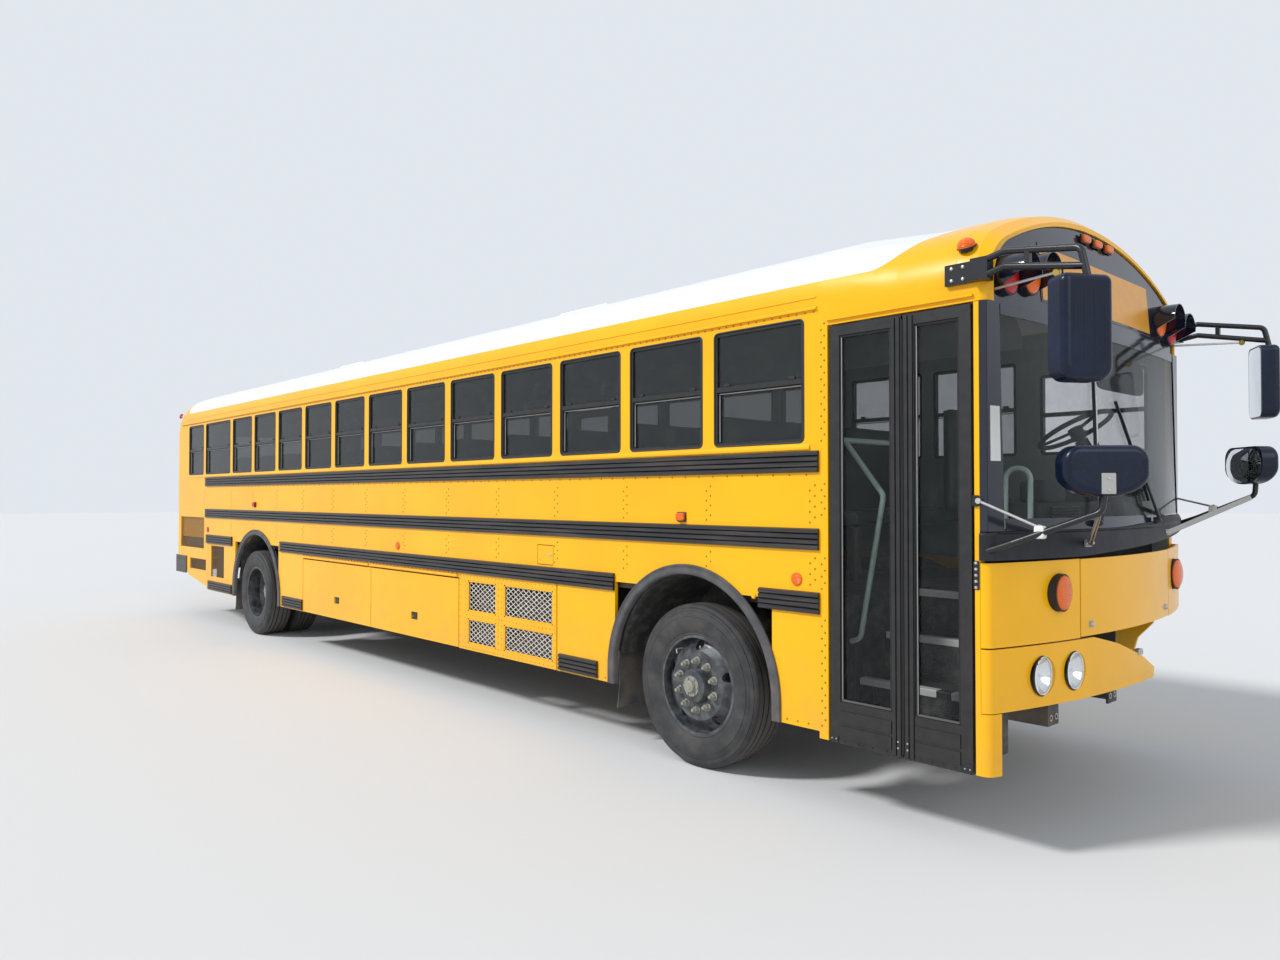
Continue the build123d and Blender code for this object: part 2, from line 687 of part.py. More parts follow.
def side_rails(side, rows):
    """Ribbed rub rails: each a flat strip with four raised ribs."""
    rails = []
    ribs, foot = 4, 5
    step = RAIL_HEIGHT / ribs
    outline = [(0, -RAIL_HEIGHT / 2)]
    for k in range(ribs):
        z = -RAIL_HEIGHT / 2 + k * step
        outline += [(foot, z), (RAIL_PROUD, z + 5), (RAIL_PROUD, z + step - 5)]
        outline += [(foot, z + step)] if k == ribs - 1 else [(foot + 4, z + step)]
    outline.append((0, RAIL_HEIGHT / 2))
    for z, spans in rows:
        for x0, x1 in spans:
            points = [(side * (HALF_WIDTH + y), z + dz) for y, dz in outline]
            face = make_face(Polyline(*points, close=True))
            sheet = Plane((x0, 0, 0), x_dir=(0, 1, 0), z_dir=(1, 0, 0)) * face
            rails.append(extrude(sheet, x1 - x0))
    return rails


def fender_rubbers():
    """Rubber flares round the arches, and the mud flaps behind the wheels."""
    pieces = []
    for arch in ARCHES:
        for side in (-1, 1):
            y0, y1 = sided(side, HALF_WIDTH - SKIRT_THICK, HALF_WIDTH + 16)
            x, z, radius, outer = arch
            ring = arch_cut(arch, outer, y0, y1, SKIRT) - arch_cut(arch, radius, y0 - 5, y1 + 5, 100)
            thin0, thin1 = sided(side, HALF_WIDTH - SKIRT_THICK - 5, HALF_WIDTH)
            lip = arch_cut(arch, outer + 5, thin0, thin1, 100) - arch_cut(
                arch, radius + 11, thin0 - 9, thin1 + 9, 90
            )
            pieces.append((ring - lip) & block(x - 900, x + 900, -1300, 1300, SKIRT, 1400))
    for x, z0, y0, y1 in ((-700, 220, 700, 1130), (-7690, 220, 600, 1170)):
        for side in (-1, 1):
            a, b = sided(side, y0, y1)
            pieces.append(block(x - 10, x, a, b, z0, 600))
    return pieces


# Roof
def roof():
    """Crowned roof sheet with its two hatch openings and raised curbs."""
    outer = extrude(body_section(REAR_JOINT, 0, 0, ROOF_SPRING), CAP_JOINT - REAR_JOINT)
    inner = extrude(body_section(REAR_JOINT - 5, WALL, 0, ROOF_SPRING - 50), CAP_JOINT - REAR_JOINT + 10)
    sheet = outer - inner
    half = HATCH_SIZE / 2
    for x in HATCHES:
        sheet += block(x - half, x + half, -half, half, CROWN - 60, CROWN + 22)
    for x in HATCHES:
        cut = half - 25
        sheet -= block(x - cut, x + cut, -cut, cut, CROWN - 200, CROWN + 100)
    return sheet


def hatch(x):
    """Roof hatch lid: a shallow tray over its curb."""
    half = HATCH_SIZE / 2 + 14
    lid = block(x - half, x + half, -half, half, CROWN + 3, CROWN + 48)
    lid = chamfer(lid.edges().group_by(Axis.Z)[-1], 16)
    return lid - block(x - half + 7, x + half - 7, 7 - half, half - 7, CROWN - 20, CROWN + 28)


def cap_outside():
    """Solid bounded by the cap's outer skin."""
    return loft([body_section(x, 0, drop, 2400) for x, drop in CAP_DROPS], ruled=True) & nose(0, 2300, 3150)


def front_cap():
    """Moulded cap over the door and windscreen, open at the front for the lamp panel."""
    inner = loft([body_section(x, WALL, drop, 2390) for x, drop in CAP_DROPS], ruled=True)
    shell = cap_outside() - (inner & nose(WALL, 2290, 3160))
    shell &= block(DOOR_REAR, 2000, -1300, 1300, 2465, 3200) + block(
        CAP_JOINT, DOOR_REAR, -1300, 1300, ROOF_SPRING, 3200
    )
    hole = extrude(body_section(1690, 62, 60, 2400), 400)
    return shell - hole + wall(-1, DOOR_REAR, DOOR_FRONT, 2486, 2496, 1, 14)


def sign_panel():
    """Dark lamp panel in the cap's front, with the hoods of its four warning lamps."""
    slab = nose(10, SCREEN_HIGH, 3150) - nose(34, SCREEN_HIGH - 10, 3160)
    panel = slab & extrude(body_section(1700, 64, 62, SCREEN_HIGH + 4), 300)
    outer, inner, length = HOOD
    for side in (-1, 1):
        for y, z in (AMBER_WARNING, RED_WARNING):
            x = front_at(y, z) - 28
            hood = lamp(x + length / 2, side * y, z, outer, length)
            hood -= lamp(x + length / 2, side * y, z, inner, 2 * length)
            panel += hood - Pos(x + 110, side * y, z - 92) * Rot(0, -26, 0) * Box(400, 2 * outer + 10, 130)
            panel -= lamp(x, side * y, z, LAMP_RADIUS + 0.5, 400)
    return panel


def front_at(y, z):
    """x of the front surface at a place across the bus."""
    lean = max(0, z - NOSE_BREAK) * math.tan(NOSE_RAKE)
    bow = NOSE - lean - CORNER
    radius = (HALF_WIDTH**2 + bow**2) / (2 * bow)
    return CORNER + bow - radius + math.sqrt(radius**2 - y**2)


def front_shell(y0, y1, z0, z1, inset=0, thick=PANEL):
    """Piece of the bowed front between two places across and two heights."""
    shell = nose(inset, z0 - 20, z1 + 20) - nose(inset + thick, z0 - 30, z1 + 30)
    return shell & block(POST_FRONT + 2, 2200, y0, y1, z0, z1)


def cowl():
    """Black cowl with a rounded lip under the windscreen, buckled up at its left end."""
    shell = nose(-14, 1290, 1460) - nose(40, 1280, 1470)
    shell &= block(POST_FRONT + 3, 2200, -1300, 1300, 1312, SCREEN_LOW - 3)
    lip = shell.edges().group_by(Axis.Z)[-1].sort_by(Axis.X)[-3:]
    shell = fillet(lip, 14)
    return shell - extrude(Plane.YZ * make_face(Polyline(*COWL_GAP, close=True)), 2300)


def upper_fascia():
    """Fixed yellow panels on both sides of the service panel, cut for the turn signals."""
    right = front_shell(-1300, -598, 927, 1300)
    right -= lamp(1900, -TURN_SIGNAL[0], TURN_SIGNAL[1], LAMP_RADIUS + 0.5, 500)
    return both(right)


def service_panel():
    """Middle panel of the front, hinged along its top edge."""
    return front_shell(-590, 590, 931, 1298)


def lower_fascia():
    """Panel that carries the right headlamps; its left part is torn off."""
    panel = front_shell(-1300, 1300, FASCIA_LOW, 920)
    for y in HEADLAMPS:
        panel -= lamp(1900, -y, HEADLAMP_Z, LAMP_RADIUS + 0.5, 600)
    return panel - extrude(Plane.YZ * make_face(Polyline(*FASCIA_LOSS, close=True)), 2300)


def front_bulkhead():
    """Upright wall behind the front panels, with the dashboard and the steering column."""
    lower = block(BULKHEAD, BULKHEAD + 20, -428, HALF_WIDTH - 50, BULKHEAD_LOW, 1424)
    lower += block(WELL_SPAN[1] + 16, WELL_SPAN[1] + 28, -1130, -416, BULKHEAD_LOW, 1424)
    lower += block(BULKHEAD, WELL_SPAN[1] + 28, -428, -416, BULKHEAD_LOW, 1424)
    dash = block(1500, BULKHEAD + 20, -380, HALF_WIDTH - 50, 1380, 1560)
    ledge = extrude(plan_section(1424, 56), 12) & block(BULKHEAD, 2200, -1300, 1300, 1424, 1436)
    column = rod(STEER_FOOT, STEER_END, 38)
    return lower + dash + ledge + column


def steering_wheel():
    """Rim, three spokes and hub, square to the column."""
    rim = Torus(214, 14)
    hub = Pos(0, 0, -25) * Cylinder(42, 70)
    wheel = rim + hub
    for k in range(3):
        wheel += Rot(0, 0, 90 + 120 * k) * Pos(110, 0, -8) * Box(200, 26, 12)
    return Pos(*STEER_CENTRE) * Rot(0, -math.degrees(STEER_TILT), 0) * wheel


def lamp(x, y, z, radius, depth):
    """Round lamp body facing forward or back along X."""
    return Pos(x, y, z) * Rot(0, 90, 0) * Cylinder(radius, depth)


def headlamps():
    """Two round sealed lamps on the right; the left pair is gone with its panel."""
    return [lamp(front_at(y, HEADLAMP_Z) - 28, -y, HEADLAMP_Z, LAMP_RADIUS, 60) for y in HEADLAMPS]


def amber_lamps():
    """Turn signals, warning lamps, identification lamps and side markers."""
    lamps = []
    for side in (-1, 1):
        for (y, z), depth in ((TURN_SIGNAL, 44), (AMBER_WARNING, 30)):
            lamps.append(lamp(front_at(y, z) + 6, side * y, z, LAMP_RADIUS, depth))
        for z in (2560, 1640):
            lamps.append(lamp(BACK - 14, side * 830, z, LAMP_RADIUS, 28))
        s0, s1 = sided(side, HALF_WIDTH, HALF_WIDTH + 12)
        lamps.append(across(797, 1163, 34, s0, s1))
        lamps.append(across(-3543 if side < 0 else -3300, 1163, 34, s0, s1))
        m0, m1 = sided(side, HALF_WIDTH, HALF_WIDTH + 26)
        lamps.append(block(-85, -15, m0, m1, 1446, 1500))
        lamps.append(rod((1640, side * 1161, 2738), (1640, side * 1196, 2763), 36))
    for y in (-150, 0, 150):
        x = front_at(y, 2900)
        lamps.append(block(x - 6, x + 18, y - 50, y + 50, 2910, 2950))
    return lamps


def red_lamps():
    """Red warning, stop, tail and marker lamps."""
    lamps = []
    y, z = RED_WARNING
    for side in (-1, 1):
        lamps.append(lamp(front_at(y, z) + 6, side * y, z, LAMP_RADIUS, 30))
        lamps.append(lamp(BACK - 14, side * 1060, 2560, LAMP_RADIUS, 28))
        lamps.append(lamp(BACK - 14, side * 1050, 1640, LAMP_RADIUS, 28))
        m0, m1 = sided(side, HALF_WIDTH, HALF_WIDTH + 26)
        lamps.append(block(-7000, -6925, m0, m1, 1470, 1524))
        lamps.append(across(-8605, 1166, 34, *sided(side, HALF_WIDTH, HALF_WIDTH + 12)))
    return lamps


# Rear
def rear_wall():
    """Rear wall and roof end in one shell, with the engine bay and window openings."""
    table = [(REAR_JOINT, 0), (-9680, 14), (-9780, 60), (BACK, 150)]  # x, drop
    outer = loft([body_section(x, 0, drop, 720) for x, drop in table], ruled=True)
    inner_table = table[:-1] + [(BACK + WALL, 85)]
    inner = loft([body_section(x, WALL, drop, 700) for x, drop in inner_table], ruled=True)
    shell = outer - inner
    shell -= block(BACK + WALL, 0, -1400, 1400, 500, ROOF_SPRING)
    half, low, high = ENGINE_DOOR
    shell -= block(BACK - 50, BACK + 100, -half - 6, half + 6, 600, high + 6)
    return shell - block(BACK - 50, BACK + 100, -560, 560, 1830, 2460)


def engine_door():
    """Rear engine door, hinged along its top edge, with a louvred field."""
    half, low, high = ENGINE_DOOR
    door = block(BACK, BACK + LID, -half, half, low, high)
    for k in range(7):
        z = low + 140 + 55 * k
        door -= block(BACK - 10, BACK + 12, -420, 420, z, z + 30)
    return door


def rear_bumper():
    """Channel bumper across the rear whose ends wrap round the corners outside the skirts."""
    outer = HALF_WIDTH + 11
    bumper = block(BUMPER_BACK, BUMPER_BACK + 70, -outer, outer, 562, 790)
    bumper = fillet(bumper.edges().filter_by(Axis.Z).group_by(Axis.X)[0], 40)
    bumper -= block(BUMPER_BACK + 10, BUMPER_BACK + 90, 10 - outer, outer - 10, 572, 780)
    for side in (-1, 1):
        y0, y1 = sided(side, HALF_WIDTH + 1, outer)
        bumper += block(BUMPER_BACK + 60, -9460, y0, y1, 562, 790)
        s0, s1 = sided(side, 340, 430)
        bumper += block(BUMPER_BACK + 5, -9700, s0, s1, FRAME_LOW + 10, FRAME_HIGH - 110)
    return bumper


def engine():
    """Engine as one block, and the radiator core beside it."""
    block_ = block(-9560, -8560, -325, 325, 520, 1340)
    core = block(-9700, -8800, -1160, -1040, 800, 1370)
    return [block_, core]


def fuel_tank():
    """Long tank hung beside the frame."""
    tank = block(-2450, -1320, -1140, -480, 455, 930)
    return fillet(tank.edges().filter_by(Axis.X), 60)


# Doors and lids
def leaf_span(front):
    """Rear and front edges of one entrance leaf."""
    if front:
        return 1426, DOOR_FRONT - LEAF_PIVOT + LEAF_EDGE
    return DOOR_REAR + LEAF_PIVOT - LEAF_EDGE, 1416


def entrance_leaf(front):
    """One leaf: stiles and rails round the pane, seals on the meeting stile and a ribbed kick panel."""
    x0, x1 = leaf_span(front)
    leaf = block(x0, x1, -HALF_WIDTH, -HALF_WIDTH + LEAF_THICK, DOOR_LOW, DOOR_HIGH)
    a, b = x0 + LEAF_STILE, x1 - LEAF_STILE
    leaf -= block(a, b, -1300, -1100, LEAF_PANE[0], LEAF_PANE[1])
    meeting = x0 + 6 if front else x1 - 52
    for x in (meeting, meeting + 27):
        leaf += block(x, x + 19, -HALF_WIDTH - 6, -HALF_WIDTH + 1, DOOR_LOW + 8, DOOR_HIGH - 8)
    for z in (DOOR_LOW + 30, DOOR_LOW + 105):
        leaf += block(a, b, -HALF_WIDTH - 5, -HALF_WIDTH + 1, z, z + 60)
    return leaf


def leaf_glass(front):
    """Tall pane of one leaf."""
    x0, x1 = leaf_span(front)
    y = -HALF_WIDTH + LEAF_THICK / 2
    return block(x0 + LEAF_STILE, x1 - LEAF_STILE, y - 3, y + 3, *LEAF_PANE)


def emergency_door():
    """Side emergency door: lower panel, window opening and its share of the rub rails."""
    x0, x1 = WINDOW_SPANS[EMERGENCY_BAY]
    door = wall(1, x0 + 8, x1 - 8, FLOOR + 40, WINDOW_TOP - 2, 32)
    door -= rounded_window(1, x0 + 70, x1 - 70, WINDOW_LOW + 10, WINDOW_TOP - 70, 30, WALL)
    for z in (1374, 1774):
        for rail in side_rails(1, [(z, [(x0 + 14, x1 - 14)])]):
            door += rail
    return door


def emergency_glass():
    """Pane of the emergency door."""
    x0, x1 = WINDOW_SPANS[EMERGENCY_BAY]
    y = HALF_WIDTH - 16
    face = Pos((x0 + x1) / 2, (WINDOW_LOW + WINDOW_TOP - 60) / 2) * RectangleRounded(
        x1 - x0 - 140, WINDOW_TOP - WINDOW_LOW - 80, 30
    )
    return extrude(Plane((0, y, 0), x_dir=(1, 0, 0), z_dir=(0, -1, 0)) * face, 6)


def storage_door(x0, x1):
    """Top-hinged luggage door with a dished place for its latch."""
    door = wall(-1, x0 + 5, x1 - 5, SKIRT + 4, STORAGE_HIGH, LID)
    middle = (x0 + x1) / 2 + 45
    return door - block(middle - 55, middle + 55, -1250, -HALF_WIDTH + 14, 550, 615)


def storage_header():
    """Skirt strip above the storage doors, with the drip mouldings over them."""
    strip = wall(-1, -5586, VENT_SPAN[0], STORAGE_HIGH + GAP + 4, WAIST, SKIRT_THICK)
    strip += wall(-1, -5592, -4095, 960, 978, 0, 14)
    return strip + wall(-1, -4050, -2552, 960, 978, 0, 14)


def fuel_flap():
    """Small flap over the filler."""
    (x0, x1), (z0, z1) = FLAP_SPAN
    return block(x0 + 6, x1 - 6, -HALF_WIDTH, -HALF_WIDTH + 8, z0 + 6, z1 - 6)


def stop_arm():
    """Folded stop arm: hinge bar, arm and blank octagon."""
    y = HALF_WIDTH + 46
    octagon = Rot(0, 0, 22.5) * RegularPolygon(225, 8)
    face = Plane((30, y + 6, 1570), x_dir=(1, 0, 0), z_dir=(0, -1, 0)) * octagon
    sign = extrude(face, 12)
    return sign + block(220, 345, y - 4, y + 8, 1520, 1620) + Pos(345, y + 2, 1570) * Cylinder(6, 130)


# Inside
def bench_rows():
    """Rear face of each bench's backrest."""
    return [FIRST_BENCH - PILLAR_PITCH * k for k in range(12)]


def seat_pads():
    """Cushion and backrest of every bench, and the driver's seat."""
    pads = []
    for side in (-1, 1):
        y0, y1 = sided(side, 190, 1150)
        for x in bench_rows():
            low = FLOOR + 330
            if (side, x) == FLIP_SEAT:
                pads.append(block(x + 95, x + 225, y0, y1, low + 20, low + 405))
            else:
                pads.append(block(x + 95, x + 480, y0, y1, low, low + 130))
            back = block(x, x + 85, y0, y1, low, FLOOR + 1010)
            pads.append(fillet(back.edges().filter_by(Axis.X).group_by(Axis.Z)[-1], 60))
    pads.append(block(850, 1300, 320, 800, FLOOR + 400, FLOOR + 510))
    pads.append(block(740, 840, 330, 790, FLOOR + 400, FLOOR + 1100))
    return pads


def seat_frames():
    """Aisle legs of the benches and the driver's pedestal."""
    frames = []
    for side in (-1, 1):
        y0, y1 = sided(side, 230, 270)
        for x in bench_rows():
            frames.append(block(x + 110, x + 150, y0, y1, FLOOR, FLOOR + 330))
            if (side, x) != FLIP_SEAT:
                frames.append(block(x + 420, x + 460, y0, y1, FLOOR, FLOOR + 330))
    frames.append(block(880, 1180, 420, 700, FLOOR, FLOOR + 400))
    return frames


def grab_rails():
    """Stanchion and guard rail behind the stairs, the slanted handrail, and the hoop by the dashboard."""
    post = rod((950, -400, FLOOR), (950, -400, 2980), 16)
    post += bent_tube([(950, -400, 1890), (950, -1130, 1890), (950, -1130, FLOOR)], 15, 60)
    slant = [(988, 838), (1045, 862), (1185, 1600), (950, 1890)]
    post += bent_tube([(x, -1010, z) for x, z in slant], 14, 45)
    loop = [(1662, FLOOR), (1662, 1740), (1530, 1740), (1530, FLOOR)]
    return [post, bent_tube([(x, -405, z) for x, z in loop], 14, 60)]


# Outside fittings
def mirror_plane(middle, turn):
    """Plane of a right-hand mirror: x across it, y up and z out of the back of its shell."""
    a = math.radians(turn)
    back = (math.cos(a), -math.sin(a), 0)
    origin = [m - MIRROR_DEPTH / 2 * b for m, b in zip(middle, back)]
    return Plane(origin, x_dir=(math.sin(a), math.cos(a), 0), z_dir=back)


def mirror_shell(outline):
    """Mirror housing: an outline drawn out and rounded at its back."""
    shell = extrude(outline, MIRROR_DEPTH)
    return fillet(shell.edges().group_by(Axis.Z)[-1], 30)


def rear_view_head():
    """Tall housing with wider curves at its foot."""
    middle, width, height, turn = REAR_VIEW
    outline = Rectangle(width, height)
    outline = fillet(outline.vertices().group_by(Axis.Y)[0], 60)
    outline = fillet(outline.vertices().group_by(Axis.Y)[-1], 34)
    return mirror_plane(middle, turn) * mirror_shell(outline)


def cross_view_head():
    """Wide housing with a flat top and a deep round foot, like the bowl of a spoon."""
    middle, width, height, turn = CROSS_VIEW
    top, hip = height / 2, -10
    outline = Pos(0, (top + hip) / 2) * Rectangle(width, top - hip)
    outline += Pos(0, hip) * Ellipse(width / 2, top + hip)
    outline = fillet(outline.vertices().group_by(Axis.Y)[-1], 70)
    head = mirror_plane(middle, turn) * mirror_shell(outline)
    return Pos(MIRROR_FRONT - head.bounding_box().max.X, 0, 0) * head


def mirror_heads():
    """Rear-view and cross-view mirrors of both sides."""
    right, left = both(cross_view_head())
    return both(rear_view_head()) + [right, Pos(0, 0, BUCKLE) * left]


def mirror_arms():
    """Twin tubes from the cap to the rear-view mirrors and bent tubes from the cowl to the others."""
    drop = [(2284, -1306, 2590), (2312, -1310, 2460)]
    high = bent_tube([(1840, -1247, 2628), (1950, -1256, 2650)] + drop, 15, 35)
    low = bent_tube([(1840, -1247, 2562), (1950, -1258, 2582), (2302, -1309, 2512)], 15, 35)
    clamp = block(2044, 2066, -1285, -1260, 2552, 2642)
    plate = block(1656, 1862, -1240, -1190, 2546, 2640) + block(1790, 1870, -1264, -1232, 2546, 2644)
    frame = high + low + clamp + plate - cap_outside() - rear_view_head()
    rise = [(2278, -1105, 1530), (2290, -1090, 1640)]
    tube = bent_tube([(1815, -1215, 1345), (1950, -1205, 1395)] + rise, 14, 40) - nose(-14, 1290, 1460)
    right, left = both(tube - cross_view_head())
    return both(frame) + [right, Pos(0, 0, BUCKLE) * left]


def main():
    """Builds and writes every node."""
    save("chassis_frame", chassis_frame())
    save("front_axle", front_axle())
    save("rear_axle", rear_axle())
    save("floor", floor())
    save("step_well", step_well())
    save("wheel_housings", *wheel_housings())
    save("storage_boxes", *storage_boxes())
    save("rear_deck", rear_deck())
    save("side_panels", *side_panels(), *corner_posts())
    save("skirts", *skirts(), vent_panel(), storage_header())
    save("grille_meshes", *grille_meshes())
    save("window_bands", *window_bands())
    save("window_frames", *window_frames())
    save("glass", *glass())
    save("rub_rails", *side_rails(-1, RAILS_RIGHT), *side_rails(1, RAILS_LEFT))
    save("fender_rubbers", *fender_rubbers())
    save("roof", roof())
    save("front_cap", front_cap())
    save("sign_panel", sign_panel())
    save("cowl", cowl())
    save("upper_fascia", *upper_fascia())
    save("lower_fascia", lower_fascia())
    save("front_bulkhead", front_bulkhead())
    save("rear_wall", rear_wall())
    save("rear_bumper", rear_bumper())
    save("engine", *engine())
    save("fuel_tank", fuel_tank())
    save("seat_pads", *seat_pads())
    save("seat_frames", *seat_frames())
    save("grab_rails", *grab_rails())
    save("headlamps", *headlamps())
    save("amber_lamps", *amber_lamps())
    save("red_lamps", *red_lamps())
    save("mirror_heads", *mirror_heads())
    save("mirror_arms", *mirror_arms())
    save("steering_wheel", steering_wheel())
    save("entrance_leaf_front", entrance_leaf(True))
    save("entrance_leaf_rear", entrance_leaf(False))
    save("entrance_glass_front", leaf_glass(True))
    save("entrance_glass_rear", leaf_glass(False))
    save("emergency_door", emergency_door())
    save("emergency_glass", emergency_glass())
    save("engine_door", engine_door())
    save("storage_door_rear", storage_door(*STORAGE_SPANS[0]))
    save("storage_door_front", storage_door(*STORAGE_SPANS[1]))
    save("fuel_flap", fuel_flap())
    save("service_panel", service_panel())
    save("stop_arm", stop_arm())
    save("hatch_front", hatch(HATCHES[0]))
    save("hatch_rear", hatch(HATCHES[1]))
    for side, word in ((-1, "right"), (1, "left")):
        save(f"knuckle_{word}", knuckle(side))
        save(f"front_rim_{word}", front_rim(side))
        save(f"front_tyre_{word}", turned(TYRE_PROFILE, 0, side, FRONT_TRACK))
        save(f"rear_rims_{word}", rear_rims(side))
        save(
            f"rear_tyres_{word}",
            turned(TYRE_PROFILE, -WHEELBASE, side, REAR_OUTER),
            turned(TYRE_PROFILE, -WHEELBASE, side, REAR_INNER),
        )


main()
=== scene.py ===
"""Looks of a flat-nosed school bus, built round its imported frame.

Metres, +X forward, +Y to the bus's left, +Z up. Lengths along the bus are counted from the front
axle, as a body builder counts them, and Shape.make() moves a finished shape to the frame's origin.
"""

import json
import math

import bmesh
import bpy
import numpy as np
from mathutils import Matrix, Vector


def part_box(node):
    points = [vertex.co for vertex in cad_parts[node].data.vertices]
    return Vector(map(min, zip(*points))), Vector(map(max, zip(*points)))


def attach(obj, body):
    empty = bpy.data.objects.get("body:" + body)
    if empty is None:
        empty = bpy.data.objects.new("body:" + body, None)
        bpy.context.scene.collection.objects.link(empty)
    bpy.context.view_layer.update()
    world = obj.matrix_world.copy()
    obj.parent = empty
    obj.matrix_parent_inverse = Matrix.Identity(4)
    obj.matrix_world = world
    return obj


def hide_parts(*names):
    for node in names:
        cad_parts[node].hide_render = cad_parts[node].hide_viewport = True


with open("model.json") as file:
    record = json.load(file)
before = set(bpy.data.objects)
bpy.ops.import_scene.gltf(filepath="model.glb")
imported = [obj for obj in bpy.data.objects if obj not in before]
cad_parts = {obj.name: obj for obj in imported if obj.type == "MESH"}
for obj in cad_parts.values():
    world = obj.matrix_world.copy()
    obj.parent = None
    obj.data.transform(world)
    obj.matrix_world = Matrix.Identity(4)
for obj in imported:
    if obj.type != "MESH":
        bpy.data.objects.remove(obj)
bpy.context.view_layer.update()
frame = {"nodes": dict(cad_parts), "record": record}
NODES = frame["nodes"]
BODY = "bus_body"
SIDES = ((-1, "right"), (1, "left"))


def middle(node):
    """Centre of a node's box."""
    low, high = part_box(node)
    return (low + high) / 2


AXLE = middle("front_tyre_right").x  # the front axle, in the frame
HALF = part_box("skirts")[1].y  # half width of the body, read on the left, where no moulding stands out
WHEELBASE = AXLE - middle("rear_tyres_right").x
TYRE_R = middle("front_tyre_right").z
TYRE_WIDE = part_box("front_tyre_right")[1].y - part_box("front_tyre_right")[0].y
FRONT_TRACK = -middle("front_tyre_right").y
REAR_MIDDLE = -middle("rear_tyres_right").y
DUAL_GAP = 0.318  # between the middles of twin tyres

# Roof section, as the body is built: flat walls, two coves and one crown
SPRING = 2.600
CROWN_R, CROWN_Z = 2.600, 0.500
COVE_R = (CROWN_R**2 - HALF**2 - (SPRING - CROWN_Z) ** 2) / (2 * (CROWN_R - HALF))
COVE_Y = HALF - COVE_R

# Side windows
PITCH = 0.720
PILLARS = [0.165 - PITCH * k for k in range(12)] + [-8.753]
FRONT_JAMB, REAR_JAMB = 0.848, -9.395
WINDOW_LOW, WINDOW_TOP = 1.872, 2.522
EMERGENCY_BAY = 6

# Bowed front
NOSE, CORNER = 2.026, 1.843
NOSE_RAKE, NOSE_BREAK = math.radians(6.5), 1.300

SCREEN = (1.440, 2.462)  # windscreen, low and high

# Outside sizes that the fittings share
BACK = -9.842
ARCHES = [(-0.012, 0.495, 0.642), (-6.925, 0.475, 0.675)]  # x, z and radius of each opening
DOOR_STILE = 0.058
DOOR_PANE = (0.570, 2.403)
STEP_EDGES = [(-0.930, 0.636), (-0.680, 0.853), (-0.444, 1.070)]  # y and z of each stair's edge
RAIL_HEIGHTS = (1.047, 1.374, 1.774)  # middles of the rub rails
HATCHES, HATCH_HALF = (-2.115, -6.435), 0.31  # middles along the roof, and half of the ceiling's opening
LINING_IN, LINING_THICK = 0.0475, 0.0015
CEILING_REAR, CEILING_FRONT = -9.30, 0.90
CABIN_FLOOR = 1.070
FIRST_BENCH = 0.040

# Lamps: place across and height of each right-hand one
HEADLAMPS, HEADLAMP_Z = (0.640, 0.880), 0.778
TURN_SIGNAL, AMBER_WARNING, RED_WARNING = (0.760, 1.150), (0.842, 2.618), (1.046, 2.590)

# Mirrors: middle, turn in degrees, width, height, corner radius of the glass
REAR_VIEW = ((2.285, -1.310, 2.265), 30, 0.230, 0.425, 0.035)
CROSS_VIEW = ((2.273, -1.075, 1.700), 45, 0.350, 0.214, 0.095)
MIRROR_DEPTH = 0.100
BUCKLE = 0.070  # how far the left cross-view mirror is pushed up

# Camera of the photograph, as calibrated: place from the front axle, turn and rise in degrees
CAMERA_PLACE = (3.784, -5.059, 1.598)
CAMERA_TURN, CAMERA_RISE = -47.57, 0.98
CAMERA_LENS, CAMERA_SENSOR = 25.79, 36.0

SIGN_PLATE = ((-0.700, 0.700), (2.535, 2.800))  # blank plate over the windscreen: across, height
# Wipers as (y, z): spindle, knee, low and high end of the blade
WIPERS = [((-0.430, 1.468), (-0.340, 1.860), (-0.397, 1.574), (-0.283, 2.169)),
          ((0.330, 1.468), (0.120, 1.820), (0.273, 1.572), (-0.037, 2.087))]

# Mesh openings: rear x, front x, low, high
RIGHT_MESHES = [(-2.405, -2.014, 0.450, 0.645), (-2.405, -2.014, 0.700, 0.940),
                (-1.909, -1.310, 0.450, 0.645), (-1.909, -1.310, 0.700, 0.940)]
REAR_MESHES = [(-9.739, -8.757, 0.904, 1.327), (-9.332, -8.672, 0.626, 0.786),
               (-8.485, -7.991, 0.569, 0.979)]


